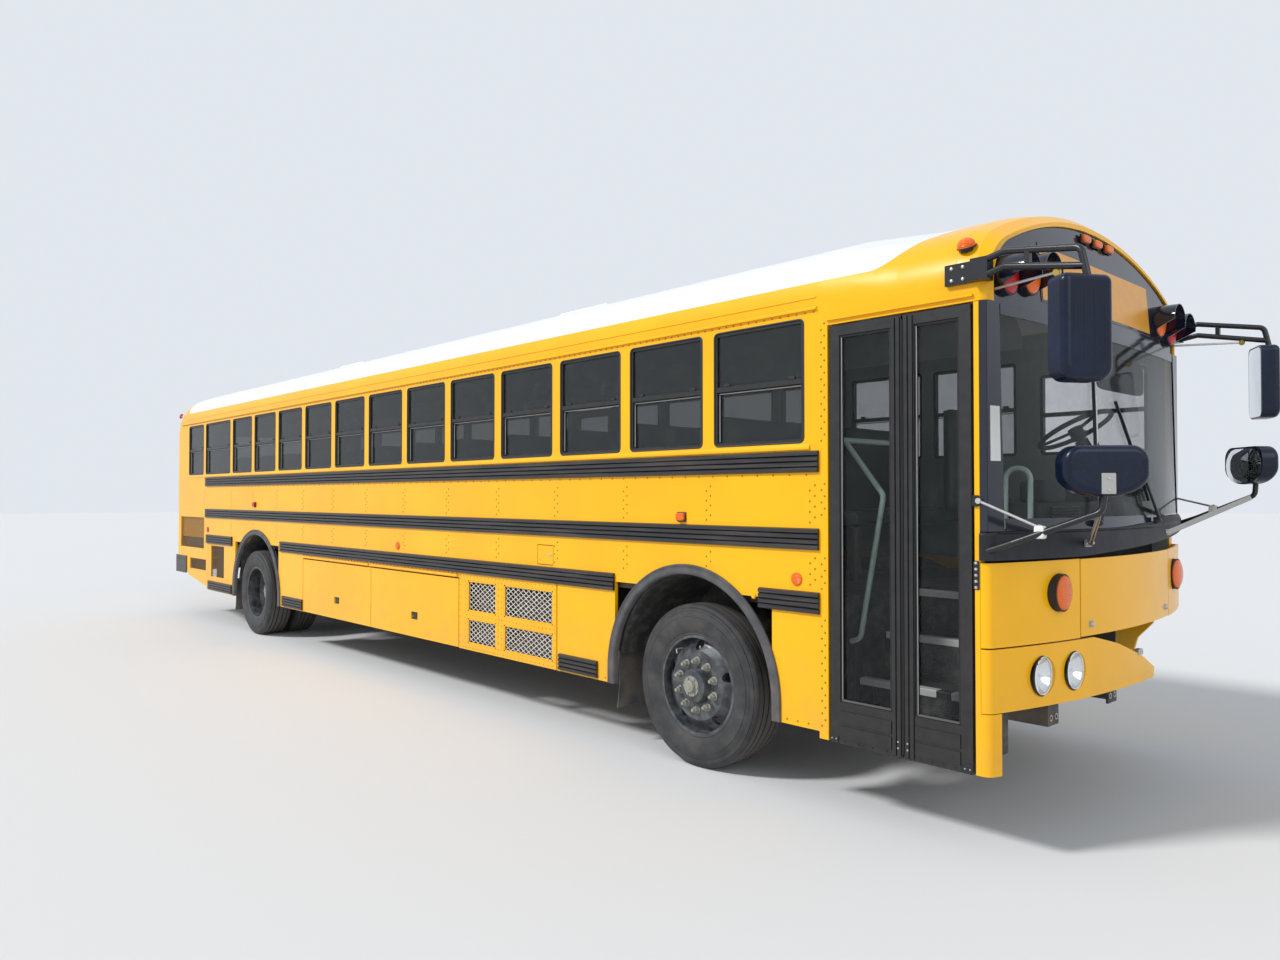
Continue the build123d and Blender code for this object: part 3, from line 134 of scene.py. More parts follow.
class Wire:
    """One socket of a material. Arithmetic on wires and numbers adds Math nodes."""

    def __init__(self, tree, socket=None):
        self.tree = tree
        self.socket = socket

    def node(self, kind, settings=None, inputs=None, output=0):
        """Adds a node: its settings first, then the values or wires of its sockets."""
        made = self.tree.nodes.new("ShaderNode" + kind)
        for key, value in (settings or {}).items():
            setattr(made, key, value)
        for key, value in (inputs or {}).items():
            if isinstance(value, Wire):
                self.tree.links.new(value.socket, made.inputs[key])
            else:
                made.inputs[key].default_value = value
        return Wire(self.tree, made.outputs[output] if made.outputs else None)

    def math(self, operation, *others):
        """A Math node on this wire and the others."""
        return self.node("Math", {"operation": operation}, dict(enumerate((self, *others))))

    def __add__(self, other):
        return self.math("ADD", other)

    def __sub__(self, other):
        return self.math("SUBTRACT", other)

    def __rsub__(self, other):
        return self.math("MULTIPLY_ADD", -1.0, other)

    def __mul__(self, other):
        return self.math("MULTIPLY", other)

    __radd__ = __add__
    __rmul__ = __mul__

    def axis(self, k):
        """One coordinate of a vector."""
        return self.node("SeparateXYZ", None, {"Vector": self}, k)

    def step(self, low, high):
        """0 below low, 1 above high and smooth between; falls where low is above high."""
        if low > high:
            return 1 - self.step(high, low)
        inputs = {"Value": self, "From Min": low, "From Max": high}
        return self.node("MapRange", {"interpolation_type": "SMOOTHSTEP"}, inputs)

    def noise(self, scale, detail=4.0, rough=0.55):
        """Soft noise from 0 to 1 on this vector; scale is in waves per metre."""
        inputs = {"Vector": self, "Scale": scale, "Detail": detail, "Roughness": rough}
        return self.node("TexNoise", None, inputs)

    def stretch(self, x, y, z):
        """The vector scaled along each axis."""
        return self.node("Mapping", {"vector_type": "POINT"}, {"Vector": self, "Scale": (x, y, z)})

    def cells(self, scale):
        """Distance to the nearest point of a random scatter."""
        return self.node("TexVoronoi", None, {"Vector": self, "Scale": scale})

    def blend(self, first, second):
        """Mixes two colours: the first where this is 0, the second where it is 1."""
        inputs = {0: self, 6: colour(first), 7: colour(second)}
        return self.node("Mix", {"data_type": "RGBA", "clamp_factor": True}, inputs, 2)

    def bump(self, distance=0.001, strength=1.0, under=None):
        """Normal from this height of 0 to 1; distance is the real depth in metres."""
        inputs = {"Height": self, "Strength": strength, "Distance": distance}
        if under is not None:
            inputs["Normal"] = under
        return self.node("Bump", None, inputs)


def colour(value):
    """A colour for a socket: a wire as it is, or three numbers with alpha 1."""
    return value if isinstance(value, Wire) else (*value, 1.0)


def material(name, recipe, *values):
    """Material whose recipe takes the Object coordinates and gives the shader's sockets."""
    made = bpy.data.materials.new(name)
    made.use_nodes = True
    tree = made.node_tree
    tree.nodes.clear()
    here = Wire(tree).node("TexCoord", output=3)
    sockets = recipe(here, *values)
    for key in ("Base Color", "Emission Color"):
        if key in sockets:
            sockets[key] = colour(sockets[key])
    shader = here.node("BsdfPrincipled", None, sockets)
    here.node("OutputMaterial", None, {"Surface": shader})
    return made


# Finishes
YELLOW = (0.950, 0.480, 0.001)
WHITE = (0.78, 0.79, 0.78)
DUST = (0.30, 0.22, 0.14)
LINING = (0.33, 0.37, 0.34)


def grime(here, base, low=0.35, high=1.0, most=0.35):
    """Road dust that thins out with height, over a base colour."""
    rising = here.axis(2).step(high, low)
    patches = here.noise(7.0, 6.0).step(0.30, 0.75)
    return (rising * patches * most).blend(base, DUST)


def inner_wall(here):
    """1 on the lined inner faces of the body: nearer the middle than the walls and the coves above."""
    x, z = here.axis(0) - AXLE, here.axis(2)
    across = (here.axis(1).math("ABSOLUTE") - COVE_Y).math("MAXIMUM", 0.0)
    above = (z - SPRING).math("MAXIMUM", 0.0)
    inside = (across * across + above * above).step(0.0790, 0.0784)
    lengthwise = inside * x.step(-9.800, -9.798) * x.step(1.800, 1.795)
    return lengthwise * z.step(1.150, 1.155) * z.step(2.700, 2.695)


def yellow_tone(here):
    """Yellow that drifts a little along the sheets."""
    return here.noise(1.3, 3.0).step(0.25, 0.75).blend(YELLOW, (0.900, 0.430, 0.002))


def yellow_skin(here):
    """Glossy yellow with faint waves of the sheet, small chips and dust near the road."""
    tone = yellow_tone(here)
    waves = here.stretch(1.0, 1.0, 1.6).noise(2.2, 2.0)
    peel = here.noise(240.0, 2.0)
    return {
        "Base Color": inner_wall(here).blend(grime(here, tone, 0.35, 0.95, 0.20), LINING),
        "Roughness": 0.24 + here.noise(5.0, 5.0) * 0.14,
        "Specular IOR Level": 0.3,
        "Coat Weight": 0.15,
        "Coat Roughness": 0.06,
        "Normal": peel.bump(0.00012, 1.0, waves.bump(0.006)),
    }


def roof_mask(here):
    """1 where the roof is white: above a line that climbs over the front cap and rear corners."""
    x = here.axis(0) - AXLE
    front = x.step(1.22, 1.80) * 0.42
    rear = x.step(-9.42, -9.80) * 0.45
    return (here.axis(2) - front - rear).step(2.700, 2.706)


def roof_skin(here):
    """White roof paint over yellow sides, with rain streaks and roof dust."""
    streaks = here.stretch(1.2, 9.0, 9.0).noise(2.0, 5.0).step(0.45, 0.8)
    dusty = (streaks * 0.25).blend(WHITE, (0.52, 0.48, 0.40))
    chalk = (here.noise(30.0, 3.0) * 0.3).blend(dusty, (0.72, 0.72, 0.70))
    tone = yellow_tone(here)
    waves = here.noise(2.2, 2.0)
    return {
        "Base Color": inner_wall(here).blend(roof_mask(here).blend(tone, chalk), LINING),
        "Roughness": 0.26 + roof_mask(here) * 0.12 + here.noise(5.0, 5.0) * 0.10,
        "Specular IOR Level": 0.3,
        "Coat Weight": 0.15,
        "Coat Roughness": 0.08,
        "Normal": waves.bump(0.005),
    }


def white_skin(here):
    """Moulded white lids."""
    grey = here.noise(9.0, 5.0).step(0.4, 0.8) * 0.3
    return {"Base Color": grey.blend(WHITE, (0.50, 0.47, 0.40)), "Roughness": 0.42,
            "Normal": here.noise(120.0, 3.0).bump(0.0004)}


def dark_steel(here, tone=0.03, rust=0.15):
    """Satin black steel with dust and a little rust."""
    base = here.noise(12.0, 5.0).blend((tone, tone, tone), (tone * 2.2, tone * 2.1, tone * 2.0))
    rusty = (here.noise(26.0, 6.0).step(0.62, 0.78) * rust).blend(base, (0.16, 0.06, 0.025))
    return {"Base Color": grime(here, rusty, 0.2, 1.1, 0.45), "Roughness": 0.45 + here.noise(18.0) * 0.25,
            "Normal": here.noise(160.0, 4.0).bump(0.0004)}


def gloss_black(here):
    """Deep black gloss with fine swirl marks; its navy cast is painted sky reflection."""
    return {"Base Color": here.noise(4.0).blend((0.006, 0.009, 0.022), (0.012, 0.014, 0.026)),
            "Roughness": 0.08 + here.noise(40.0, 6.0) * 0.08, "Coat Weight": 0.2, "Coat Roughness": 0.04}


def moulding(here, tone=(0.014, 0.014, 0.018), grain=320.0, rough=0.48):
    """Grained black moulding with a bluish bloom from the sun in patches; a navy tone given to it, as on the
    mirror shells, is painted sky reflection.
    """
    faded = here.noise(6.0, 4.0).step(0.4, 0.8).blend(tone, tuple(c * 1.9 for c in tone))
    return {"Base Color": faded, "Roughness": rough + here.noise(25.0) * 0.12, "Specular IOR Level": 0.3,
            "Normal": here.cells(grain).bump(0.00006)}


def rail_paint(here):
    """Ribbed rub rails: worn satin black, brown where dust lies on the ribs."""
    streaks = here.stretch(0.7, 8.0, 14.0).noise(3.0, 6.0).step(0.45, 0.75)
    base = (streaks * 0.55).blend((0.020, 0.019, 0.021), (0.085, 0.070, 0.058))
    return {"Base Color": base, "Roughness": 0.34 + streaks * 0.22,
            "Normal": here.stretch(0.6, 6.0, 6.0).noise(60.0, 4.0).bump(0.0006)}


def worn_rubber(here):
    """Sun-bleached grey rubber of the flares and flaps."""
    faded = here.noise(9.0, 6.0).step(0.3, 0.8).blend((0.055, 0.055, 0.062), (0.105, 0.102, 0.104))
    return {"Base Color": grime(here, faded, 0.25, 0.95, 0.35), "Roughness": 0.50 + here.noise(30.0) * 0.18,
            "Normal": here.noise(140.0, 5.0).bump(0.0007)}


def floor_covering(here):
    """Black ribbed floor rubber with trodden dust."""
    ribs = (here.axis(1) * 260.0).math("SINE")
    base = here.noise(5.0, 6.0).step(0.35, 0.75).blend((0.030, 0.030, 0.032), (0.095, 0.085, 0.070))
    return {"Base Color": base, "Roughness": 0.62, "Normal": ribs.bump(0.0010)}


def step_plate(here):
    """Stair and housing sheet: dark, scuffed, with a pebbled grip."""
    base = here.noise(14.0, 6.0).step(0.4, 0.75).blend((0.030, 0.032, 0.032), (0.11, 0.10, 0.085))
    return {"Base Color": base, "Roughness": 0.6, "Normal": here.cells(140.0).bump(0.0012)}


def tinted(here, tone=(0.012, 0.018, 0.018), clear=0.52, front=0.34):
    """Tinted safety glass: see-through face on, mirror-like at a low angle, with dust and smears.

    Each pane has two faces, so clear is the share that one face lets through; front is what the
    panes round the driver let through besides.
    """
    grazing = here.node("LayerWeight", None, {"Blend": 0.5}, 1).math("POWER", 5.0)
    dirt = here.noise(11.0, 6.0).step(0.45, 0.85) * 0.06
    ahead = (here.axis(0) - AXLE).step(0.90, 0.95) * front
    opaque = (grazing + dirt + (1 - clear) - ahead).math("MINIMUM", 1.0)
    return {"Base Color": dirt.blend(tone, (0.35, 0.32, 0.26)), "Roughness": 0.03 + dirt * 1.2,
            "IOR": 1.62, "Alpha": opaque, "Normal": here.noise(1.6, 1.0).bump(0.003)}


def lens(here, tone, ribs=900.0):
    """Coloured ribbed lens that glows a little from behind; on the reflectors, which hold no lamp, the glow
    is painted light.
    """
    lines = (here.axis(2) * ribs).math("SINE")
    return {"Base Color": here.noise(20.0).blend(tone, tuple(c * 0.7 for c in tone)), "Roughness": 0.18,
            # Emission: a faint glow, painted light where the lens is a reflector.
            "Specular IOR Level": 0.3, "Coat Weight": 0.2, "Emission Color": tone,
            "Emission Strength": 0.06, "Normal": lines.bump(0.0008)}


def chrome(here):
    """Bright reflector or ring with a light haze."""
    return {"Base Color": (0.86, 0.87, 0.88), "Metallic": 1.0, "Roughness": 0.06 + here.noise(60.0) * 0.07}


def bright_steel(here):
    """Galvanised or bare steel: grey, spangled, dusty."""
    base = here.noise(45.0, 5.0).blend((0.42, 0.42, 0.41), (0.62, 0.61, 0.58))
    return {"Base Color": base, "Metallic": 0.75, "Roughness": 0.34 + here.noise(80.0) * 0.2,
            "Normal": here.noise(200.0, 3.0).bump(0.0003)}


def mesh_metal(here):
    """Expanded sheet: pale grey-yellow paint rubbed bright along the strands."""
    base = here.noise(35.0, 5.0).step(0.35, 0.7).blend((0.50, 0.44, 0.34), (0.72, 0.70, 0.68))
    return {"Base Color": base, "Metallic": 0.25, "Roughness": 0.45,
            "Normal": here.noise(150.0, 3.0).bump(0.0004)}


def rail_coat(here):
    """Pale grey-green coated tube."""
    base = here.noise(18.0, 4.0).step(0.5, 0.85).blend((0.42, 0.56, 0.50), (0.28, 0.36, 0.33))
    return {"Base Color": base, "Roughness": 0.35, "Coat Weight": 0.3,
            "Normal": here.noise(90.0).bump(0.0004)}


def seat_vinyl(here):
    """Dark grey-green seat vinyl with leather grain."""
    base = here.noise(5.0, 4.0).blend((0.030, 0.042, 0.045), (0.055, 0.068, 0.068))
    grain = here.cells(420.0) * 0.7 + here.noise(300.0, 3.0) * 0.3
    return {"Base Color": base, "Roughness": 0.48, "Normal": grain.bump(0.0006)}


def red_sign(here):
    """Stop-sign red sheet, a little faded."""
    return {"Base Color": here.noise(6.0, 4.0).blend((0.55, 0.012, 0.015), (0.46, 0.02, 0.02)),
            "Roughness": 0.28, "Normal": here.cells(500.0).bump(0.0002)}


def cast_metal(here):
    """Oily cast iron."""
    base = here.noise(10.0, 6.0).step(0.35, 0.8).blend((0.05, 0.045, 0.04), (0.14, 0.12, 0.10))
    return {"Base Color": base, "Metallic": 0.4, "Roughness": 0.5,
            "Normal": here.noise(90.0, 5.0).bump(0.0015)}


def sash(here):
    """Black anodised sash with faint drawn lines."""
    return {"Base Color": here.noise(20.0).blend((0.022, 0.022, 0.024), (0.050, 0.048, 0.046)),
            "Metallic": 0.5, "Roughness": 0.36,
            "Normal": here.stretch(1.0, 30.0, 30.0).noise(30.0).bump(0.0003)}


def disc_steel(here):
    """Black wheel steel, grey with road dust and brake dust, brushed clean in patches."""
    dust = here.noise(15.0, 6.0).step(0.30, 0.75)
    base = (dust * 0.7).blend((0.030, 0.033, 0.040), (0.16, 0.17, 0.17))
    return {"Base Color": base, "Metallic": 0.2, "Roughness": 0.30 + dust * 0.25,
            "Normal": here.noise(110.0, 4.0).bump(0.0006)}


def nut_steel(here):
    """Dusty grey-green wheel nuts."""
    base = here.noise(60.0, 5.0).blend((0.20, 0.20, 0.16), (0.42, 0.41, 0.35))
    return {"Base Color": base, "Metallic": 0.3, "Roughness": 0.55,
            "Normal": here.noise(240.0, 4.0).bump(0.0005)}


def tyre_rubber(here, axle_x):
    """Tyre rubber: sidewall bloom, dust in rings, and fine cuts round both shoulders."""
    x, z = here.axis(0) - axle_x, here.axis(2) - TYRE_R
    radius = (x * x + z * z).math("SQRT")
    angle = z.math("ARCTAN2", x)
    cuts = (angle * 260.0).math("SINE").step(-0.3, 0.3)
    shoulder = radius.step(0.456, 0.462) * radius.step(0.4795, 0.4775)
    rings = (radius * 700.0).math("SINE")
    flank = radius.step(0.395, 0.400) * radius.step(0.456, 0.452)
    dust = here.noise(9.0, 6.0).step(0.30, 0.80)
    base = (dust * 0.65).blend((0.020, 0.021, 0.024), (0.100, 0.093, 0.084))
    tread = radius.step(0.476, 0.480).blend(base, (0.085, 0.078, 0.070))
    height = cuts * shoulder + rings * flank * 0.25
    return {"Base Color": tread, "Roughness": 0.62 + dust * 0.2,
            "Normal": height.bump(0.0025, 1.0, here.noise(190.0, 5.0).bump(0.0005))}


def plain(here, tone, rough=0.4, metal=0.0, grain=0.0004):
    """Any other plain finish, with a faint mottle and grain."""
    darker = tuple(c * 0.8 for c in tone)
    return {"Base Color": here.noise(15.0, 4.0).blend(tone, darker), "Roughness": rough, "Metallic": metal,
            "Normal": here.noise(200.0, 3.0).bump(grain)}


M = {
    "yellow_paint": material("yellow_paint", yellow_skin),
    "white_paint": material("roof_paint", roof_skin),
    "chassis_black": material("chassis_black", dark_steel),
    "step_steel": material("step_steel", step_plate),
    "floor_vinyl": material("floor_covering", floor_covering),
    "mesh_steel": material("mesh_metal", mesh_metal),
    "sash_black": material("sash_black", sash),
    "tinted_glass": material("tinted_glass", tinted),
    "rail_black": material("rail_black", rail_paint),
    "rubber": material("worn_rubber", worn_rubber),
    # Gloss black: the navy tone is painted sky reflection.
    "gloss_black": material("gloss_black", gloss_black),
    "cowl_black": material("cowl_black", moulding),
    "inner_black": material("inner_black", moulding, (0.020, 0.022, 0.022), 500.0, 0.6),
    "engine_iron": material("engine_iron", cast_metal),
    "seat_vinyl": material("seat_vinyl", seat_vinyl),
    "seat_steel": material("seat_steel", dark_steel, 0.05, 0.05),
    "rail_green": material("rail_green", rail_coat),
    "lamp_clear": material("reflector", chrome),
    "lamp_amber": material("lamp_amber", lens, (0.95, 0.16, 0.004)),
    "lamp_red": material("lamp_red", lens, (0.55, 0.006, 0.006)),
    # Mirror shells: the navy tone is painted sky reflection on black moulding.
    "mirror_black": material("mirror_shell_painted_sky", moulding, (0.003, 0.007, 0.022), 700.0, 0.22),
    "arm_black": material("arm_black", plain, (0.010, 0.011, 0.014), 0.32),
    "door_black": material("door_black", sash),
    "sign_red": material("sign_red", red_sign),
    "hatch_white": material("hatch_white", white_skin),
    "wheel_black": material("wheel_steel", disc_steel),
    "tyre_front": material("tyre_front", tyre_rubber, AXLE),
    "tyre_rear": material("tyre_rear", tyre_rubber, AXLE - WHEELBASE),
    "nut_steel": material("nut_steel", nut_steel),
    "bright_steel": material("bright_steel", bright_steel),
    "seal_rubber": material("seal_rubber", plain, (0.014, 0.014, 0.015), 0.55),
    "mesh_brown": material("mesh_brown", plain, (0.22, 0.13, 0.05), 0.5),
    # Rivet heads: darker than the paint, partly grime round each head and partly painted shadow under it.
    "rivet_yellow": material("rivet_yellow", plain, (0.42, 0.185, 0.004), 0.45),
    "lens_clear": material("lens_clear", tinted, (0.60, 0.65, 0.70), 0.93, 0.0),
    "mirror_glass": material("mirror_glass", plain, (0.80, 0.82, 0.84), 0.03, 1.0, 0.0),
    "strip_white": material("strip_white", plain, (0.80, 0.80, 0.76), 0.45),
    "sign_amber": material("sign_amber", plain, (0.80, 0.36, 0.035), 0.30),
    "dial_white": material("dial_white", plain, (0.65, 0.66, 0.64), 0.35),
    "dull_aluminium": material("dull_aluminium", plain, (0.44, 0.43, 0.41), 0.42, 0.6),
    "brass": material("brass", plain, (0.62, 0.42, 0.10), 0.30, 0.9),
    "lining_green": material("lining_green", plain, LINING, 0.55),
    "ceiling_white": material("ceiling_white", plain, (0.55, 0.56, 0.54), 0.50),
}


# Shapes
class Shape:
    """Surfaces gathered as whole arrays and made into one mesh, in metres from the front axle."""

    def __init__(self):
        self.points = []
        self.faces = []
        self.slots = []
        self.count = 0

    def add(self, points, faces, slot=0):
        """Adds points and faces that index them."""
        self.points.append(np.asarray(points, float).reshape(-1, 3))
        self.faces += [[i + self.count for i in face] for face in faces]
        self.slots += [slot] * len(faces)
        self.count += len(self.points[-1])
        return self

    def sheet(self, grid, slot=0, ring=False, loop=False, caps=False):
        """Quads over a grid of points; ring joins its last column to the first, loop its rows."""
        rows, columns = grid.shape[:2]
        index = np.arange(rows * columns).reshape(rows, columns)
        if ring:
            index = np.concatenate([index, index[:, :1]], 1)
        if loop:
            index = np.concatenate([index, index[:1]], 0)
        quads = np.stack([index[:-1, :-1], index[:-1, 1:], index[1:, 1:], index[1:, :-1]], -1)
        faces = quads.reshape(-1, 4).tolist()
        if caps:
            faces += [index[0, :columns][::-1].tolist(), index[-1, :columns].tolist()]
        return self.add(grid, faces, slot)

    def slab(self, grid, depth, slot=0):
        """A closed plate: the grid, the grid again moved by depth, and a strip round their edges."""
        rows, columns = grid.shape[:2]
        far = rows * columns
        index = np.arange(far).reshape(rows, columns)
        quads = np.stack([index[:-1, :-1], index[:-1, 1:], index[1:, 1:], index[1:, :-1]], -1).reshape(-1, 4)
        edge = np.concatenate([index[0, :-1], index[:-1, -1], index[-1, :0:-1], index[:0:-1, 0]])
        after = np.roll(edge, -1)
        rim = np.stack([edge, edge + far, after + far, after], -1)
        faces = np.concatenate([quads, quads[:, ::-1] + far, rim])
        flat = grid.reshape(-1, 3)
        return self.add(np.concatenate([flat, flat + np.asarray(depth, float)]), faces.tolist(), slot)

    def solid(self, grid, slot=0):
        """A closed bar or plate: rings from end to end, with both ends capped."""
        return self.sheet(grid, slot, ring=True, caps=True)

    def lathe(self, profile, centre, axis, steps, slot=0):
        """A turned piece: the profile swung once about an axis."""
        return self.sheet(turned(profile, centre, axis, steps), slot, ring=True)

    def pillow(self, low, high, edge, power, rows=14, columns=28, slot=0):
        """A box whose edges are all rounded off, as soft_box() gives it."""
        return self.sheet(soft_box(low, high, edge, power, rows, columns), slot, ring=True)

    def many(self, points, faces, places, turns, slot=0):
        """Copies a small shape to many places, each turned by its own 3 by 3 matrix."""
        moved = np.einsum("nij,mj->nmi", turns, points) + places[:, None]
        size = len(points)
        table = [[i + size * k for i in face] for k in range(len(places)) for face in faces]
        return self.add(moved, table, slot)

    def make(self, name, finishes, body=BODY, stands_for=(), slot=None, soft=0.6):
        """The mesh object: placed, turned outwards, shaded smooth below an angle, on its body."""
        points = np.concatenate(self.points)
        points[:, 0] += AXLE
        mesh = bpy.data.meshes.new(name)
        mesh.from_pydata(points.tolist(), [], self.faces)
        mesh.polygons.foreach_set("material_index", self.slots)
        for key in [finishes] if isinstance(finishes, str) else finishes:
            mesh.materials.append(M[key])
        outward(mesh)
        mesh.shade_smooth()
        mesh.set_sharp_from_angle(angle=soft)
        made = bpy.data.objects.new(name, mesh)
        bpy.context.scene.collection.objects.link(made)
        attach(made, body)
        if stands_for:
            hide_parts(*stands_for)
        return made


def outward(mesh):
    """Closes the poles and turns the faces of every shell outwards."""
    work = bmesh.new()
    work.from_mesh(mesh)
    bmesh.ops.remove_doubles(work, verts=work.verts, dist=1e-6)
    bmesh.ops.recalc_face_normals(work, faces=work.faces)
    work.to_mesh(mesh)
    work.free()


def unit(vector):
    """Vectors of length one."""
    vector = np.asarray(vector, float)
    return vector / np.linalg.norm(vector, axis=-1, keepdims=True)


def basis(normal):
    """Rows of matrices whose third column is the normal: turns +Z onto it."""
    normal = np.atleast_2d(unit(normal))
    helper = np.where(np.abs(normal[:, 2:]) < 0.9, [[0.0, 0, 1]], [[1.0, 0, 0]])
    across = unit(np.cross(helper, normal))
    return np.stack([across, np.cross(normal, across), normal], -1)


def turned(profile, centre, axis, steps):
    """Points (radius, height) swung once about an axis: radius by cosine and sine across, height along."""
    profile = np.asarray(profile, float)
    axes = basis(axis)[0]
    angles = np.arange(steps) * 2 * math.pi / steps
    r, h = profile[:, 0][:, None], profile[:, 1][:, None]
    local = np.stack([r * np.cos(angles), r * np.sin(angles), h + 0 * angles], -1)
    return local @ axes.T + np.asarray(centre, float)


def rounded(points, radius, steps=6):
    """A run of straight lines whose corners become arcs of the given radius."""
    points = [np.asarray(p, float) for p in points]
    out = [points[0]]
    for before, corner, after in zip(points, points[1:], points[2:]):
        a, b = unit(before - corner), unit(after - corner)
        half = math.acos(max(-1.0, min(1.0, float(a @ b)))) / 2
        if half > 1.55:
            out.append(corner)
            continue
        reach = min(radius / math.tan(half), 0.48 * np.linalg.norm(before - corner),
                    0.48 * np.linalg.norm(after - corner))
        bend = reach * math.tan(half)
        hub = corner + unit(a + b) * (bend / math.sin(half))
        start, end = corner + a * reach - hub, corner + b * reach - hub
        share = np.linspace(0, 1, steps)
        opening = math.pi - 2 * half
        arc = [(math.sin((1 - t) * opening) * start + math.sin(t * opening) * end) / math.sin(opening)
               for t in share]
        out += [hub + p for p in arc]
    out.append(points[-1])
    return np.array(out)


def tube(path, radius, sides=12):
    """Rings square to a path; radius is a number or one per point."""
    path = np.asarray(path, float)
    along = unit(np.gradient(path, axis=0))
    up = basis(along[0])[0][:, 0]
    frames = []
    for direction in along:
        up = unit(up - direction * (up @ direction))
        frames.append((up, np.cross(direction, up)))
    angles = np.arange(sides) * 2 * math.pi / sides
    frames = np.array(frames)
    size = np.broadcast_to(np.asarray(radius, float), (len(path),))[:, None, None]
    cosine, sine = np.cos(angles)[None, :, None], np.sin(angles)[None, :, None]
    return path[:, None] + (frames[:, None, 0] * cosine + frames[:, None, 1] * sine) * size


def bar(path, outline, up=(0, 0, 1)):
    """A flat outline (across, up) carried along a path, kept upright."""
    path = np.asarray(path, float)
    along = unit(np.gradient(path, axis=0))
    across = unit(np.cross(along, np.asarray(up, float)))
    rise = np.cross(across, along)
    outline = np.asarray(outline, float)
    shift = across[:, None] * outline[None, :, :1]
    return path[:, None] + shift + rise[:, None] * outline[None, :, 1:]


def soft_box(low, high, edge, power=6.0, rows=14, columns=28):
    """A closed pillow that fills a box: a sphere whose cosines and sines are raised to two over a power."""
    low, high = np.asarray(low, float), np.asarray(high, float)
    size = (high - low) / 2
    lat = np.linspace(-math.pi / 2, math.pi / 2, rows)[:, None]
    lon = np.arange(columns)[None, :] * 2 * math.pi / columns

    def curve(value, p):
        return np.sign(value) * np.abs(value) ** (2 / p)

    flat = curve(np.cos(lat), edge)
    x = flat * curve(np.cos(lon), power)
    y = flat * curve(np.sin(lon), power)
    z = curve(np.sin(lat), edge) + 0 * lon
    return np.stack([x, y, z], -1) * size + (low + high) / 2


def plate(low, high, edge=0.002):
    """A box with bevelled long edges, as eight-sided rings from end to end along its longest side."""
    low, high = np.minimum(low, high).astype(float), np.maximum(low, high).astype(float)
    long = int(np.argmax(high - low))
    a, b = [k for k in range(3) if k != long]
    e = min(edge, (high[a] - low[a]) * 0.45, (high[b] - low[b]) * 0.45)
    ring = [(low[a] + e, low[b]), (high[a] - e, low[b]), (high[a], low[b] + e), (high[a], high[b] - e),
            (high[a] - e, high[b]), (low[a] + e, high[b]), (low[a], high[b] - e), (low[a], low[b] + e)]
    grid = np.zeros((2, 8, 3))
    for row, end in enumerate((low[long], high[long])):
        grid[row, :, long] = end
        grid[row, :, a] = [p[0] for p in ring]
        grid[row, :, b] = [p[1] for p in ring]
    return grid


# A rivet head: two rings of six points and a top
RIVET_RINGS = turned([(1.0, 0.0), (0.72, 0.62), (0.0, 0.85)], (0, 0, 0), (0, 0, 1), 6)
RIVET_POINTS = np.concatenate([RIVET_RINGS[0], RIVET_RINGS[1], RIVET_RINGS[2][:1]])
RIVET_FACES = ([[k, (k + 1) % 6, 6 + (k + 1) % 6, 6 + k] for k in range(6)]
               + [[6 + k, 6 + (k + 1) % 6, 12] for k in range(6)])


def studs(shape, places, normals, radius, slot=0):
    """Low domed heads standing on a surface."""
    places = np.asarray(places, float).reshape(-1, 3)
    normals = np.broadcast_to(np.asarray(normals, float), places.shape)
    shape.many(RIVET_POINTS * radius, RIVET_FACES, places - unit(normals) * 0.0005, basis(normals), slot)


def front_x(y, z):
    """Face of the bowed front: upright below the break, raked above it."""
    lean = np.maximum(0, z - NOSE_BREAK) * math.tan(NOSE_RAKE)
    bow = NOSE - lean - CORNER
    radius = (HALF**2 + bow**2) / (2 * bow)
    return CORNER + bow - radius + np.sqrt(radius**2 - np.square(y))


def roof_point(x, turn, lift=0.0):
    """Point on the roof's skin, turn from -1 at the right spring to 1 at the left, and its normal."""
    lean = math.atan2(COVE_Y, SPRING - CROWN_Z)
    cove_len, crown_len = COVE_R * (math.pi / 2 - lean), CROWN_R * lean
    s = abs(turn) * (cove_len + crown_len)
    side = 1 if turn > 0 else -1
    if s < crown_len:
        a = s / CROWN_R
        normal = np.array([0, side * math.sin(a), math.cos(a)])
        point = np.array([x, 0, CROWN_Z]) + normal * (CROWN_R + lift)
    else:
        a = lean + (s - crown_len) / COVE_R
        normal = np.array([0, side * math.sin(a), math.cos(a)])
        point = np.array([x, side * COVE_Y, SPRING]) + normal * (COVE_R + lift)
    return point, normal


# Wheels
def tyre_section():
    """Closed outline (radius, width) of a tyre: bead, ringed flank, shoulder and four tread grooves."""
    w = TYRE_WIDE / 2
    half = [(0.286, 0.100), (0.290, 0.112), (0.300, 0.118), (0.306, 0.117), (0.312, 0.121),
            (0.330, w - 0.008), (0.350, w - 0.003), (0.380, w), (0.400, w - 0.001), (0.4005, w - 0.003),
            (0.404, w - 0.003), (0.405, w - 0.002), (0.430, w - 0.005), (0.434, w - 0.008),
            (0.438, w - 0.006), (0.452, w - 0.009), (0.453, w - 0.013), (0.458, w - 0.013),
            (0.460, w - 0.015), (0.472, 0.116), (0.477, 0.108), (0.4790, 0.100)]
    tread = []
    for groove, depth in ((0.070, 0.013), (0.026, 0.014)):
        tread += [(TYRE_R - 0.0006, groove + 0.006), (TYRE_R - depth, groove + 0.003),
                  (TYRE_R - depth, groove - 0.003), (TYRE_R - 0.0003, groove - 0.006)]
    outer = half + tread
    return outer + [(r, -x) for r, x in reversed(outer)]


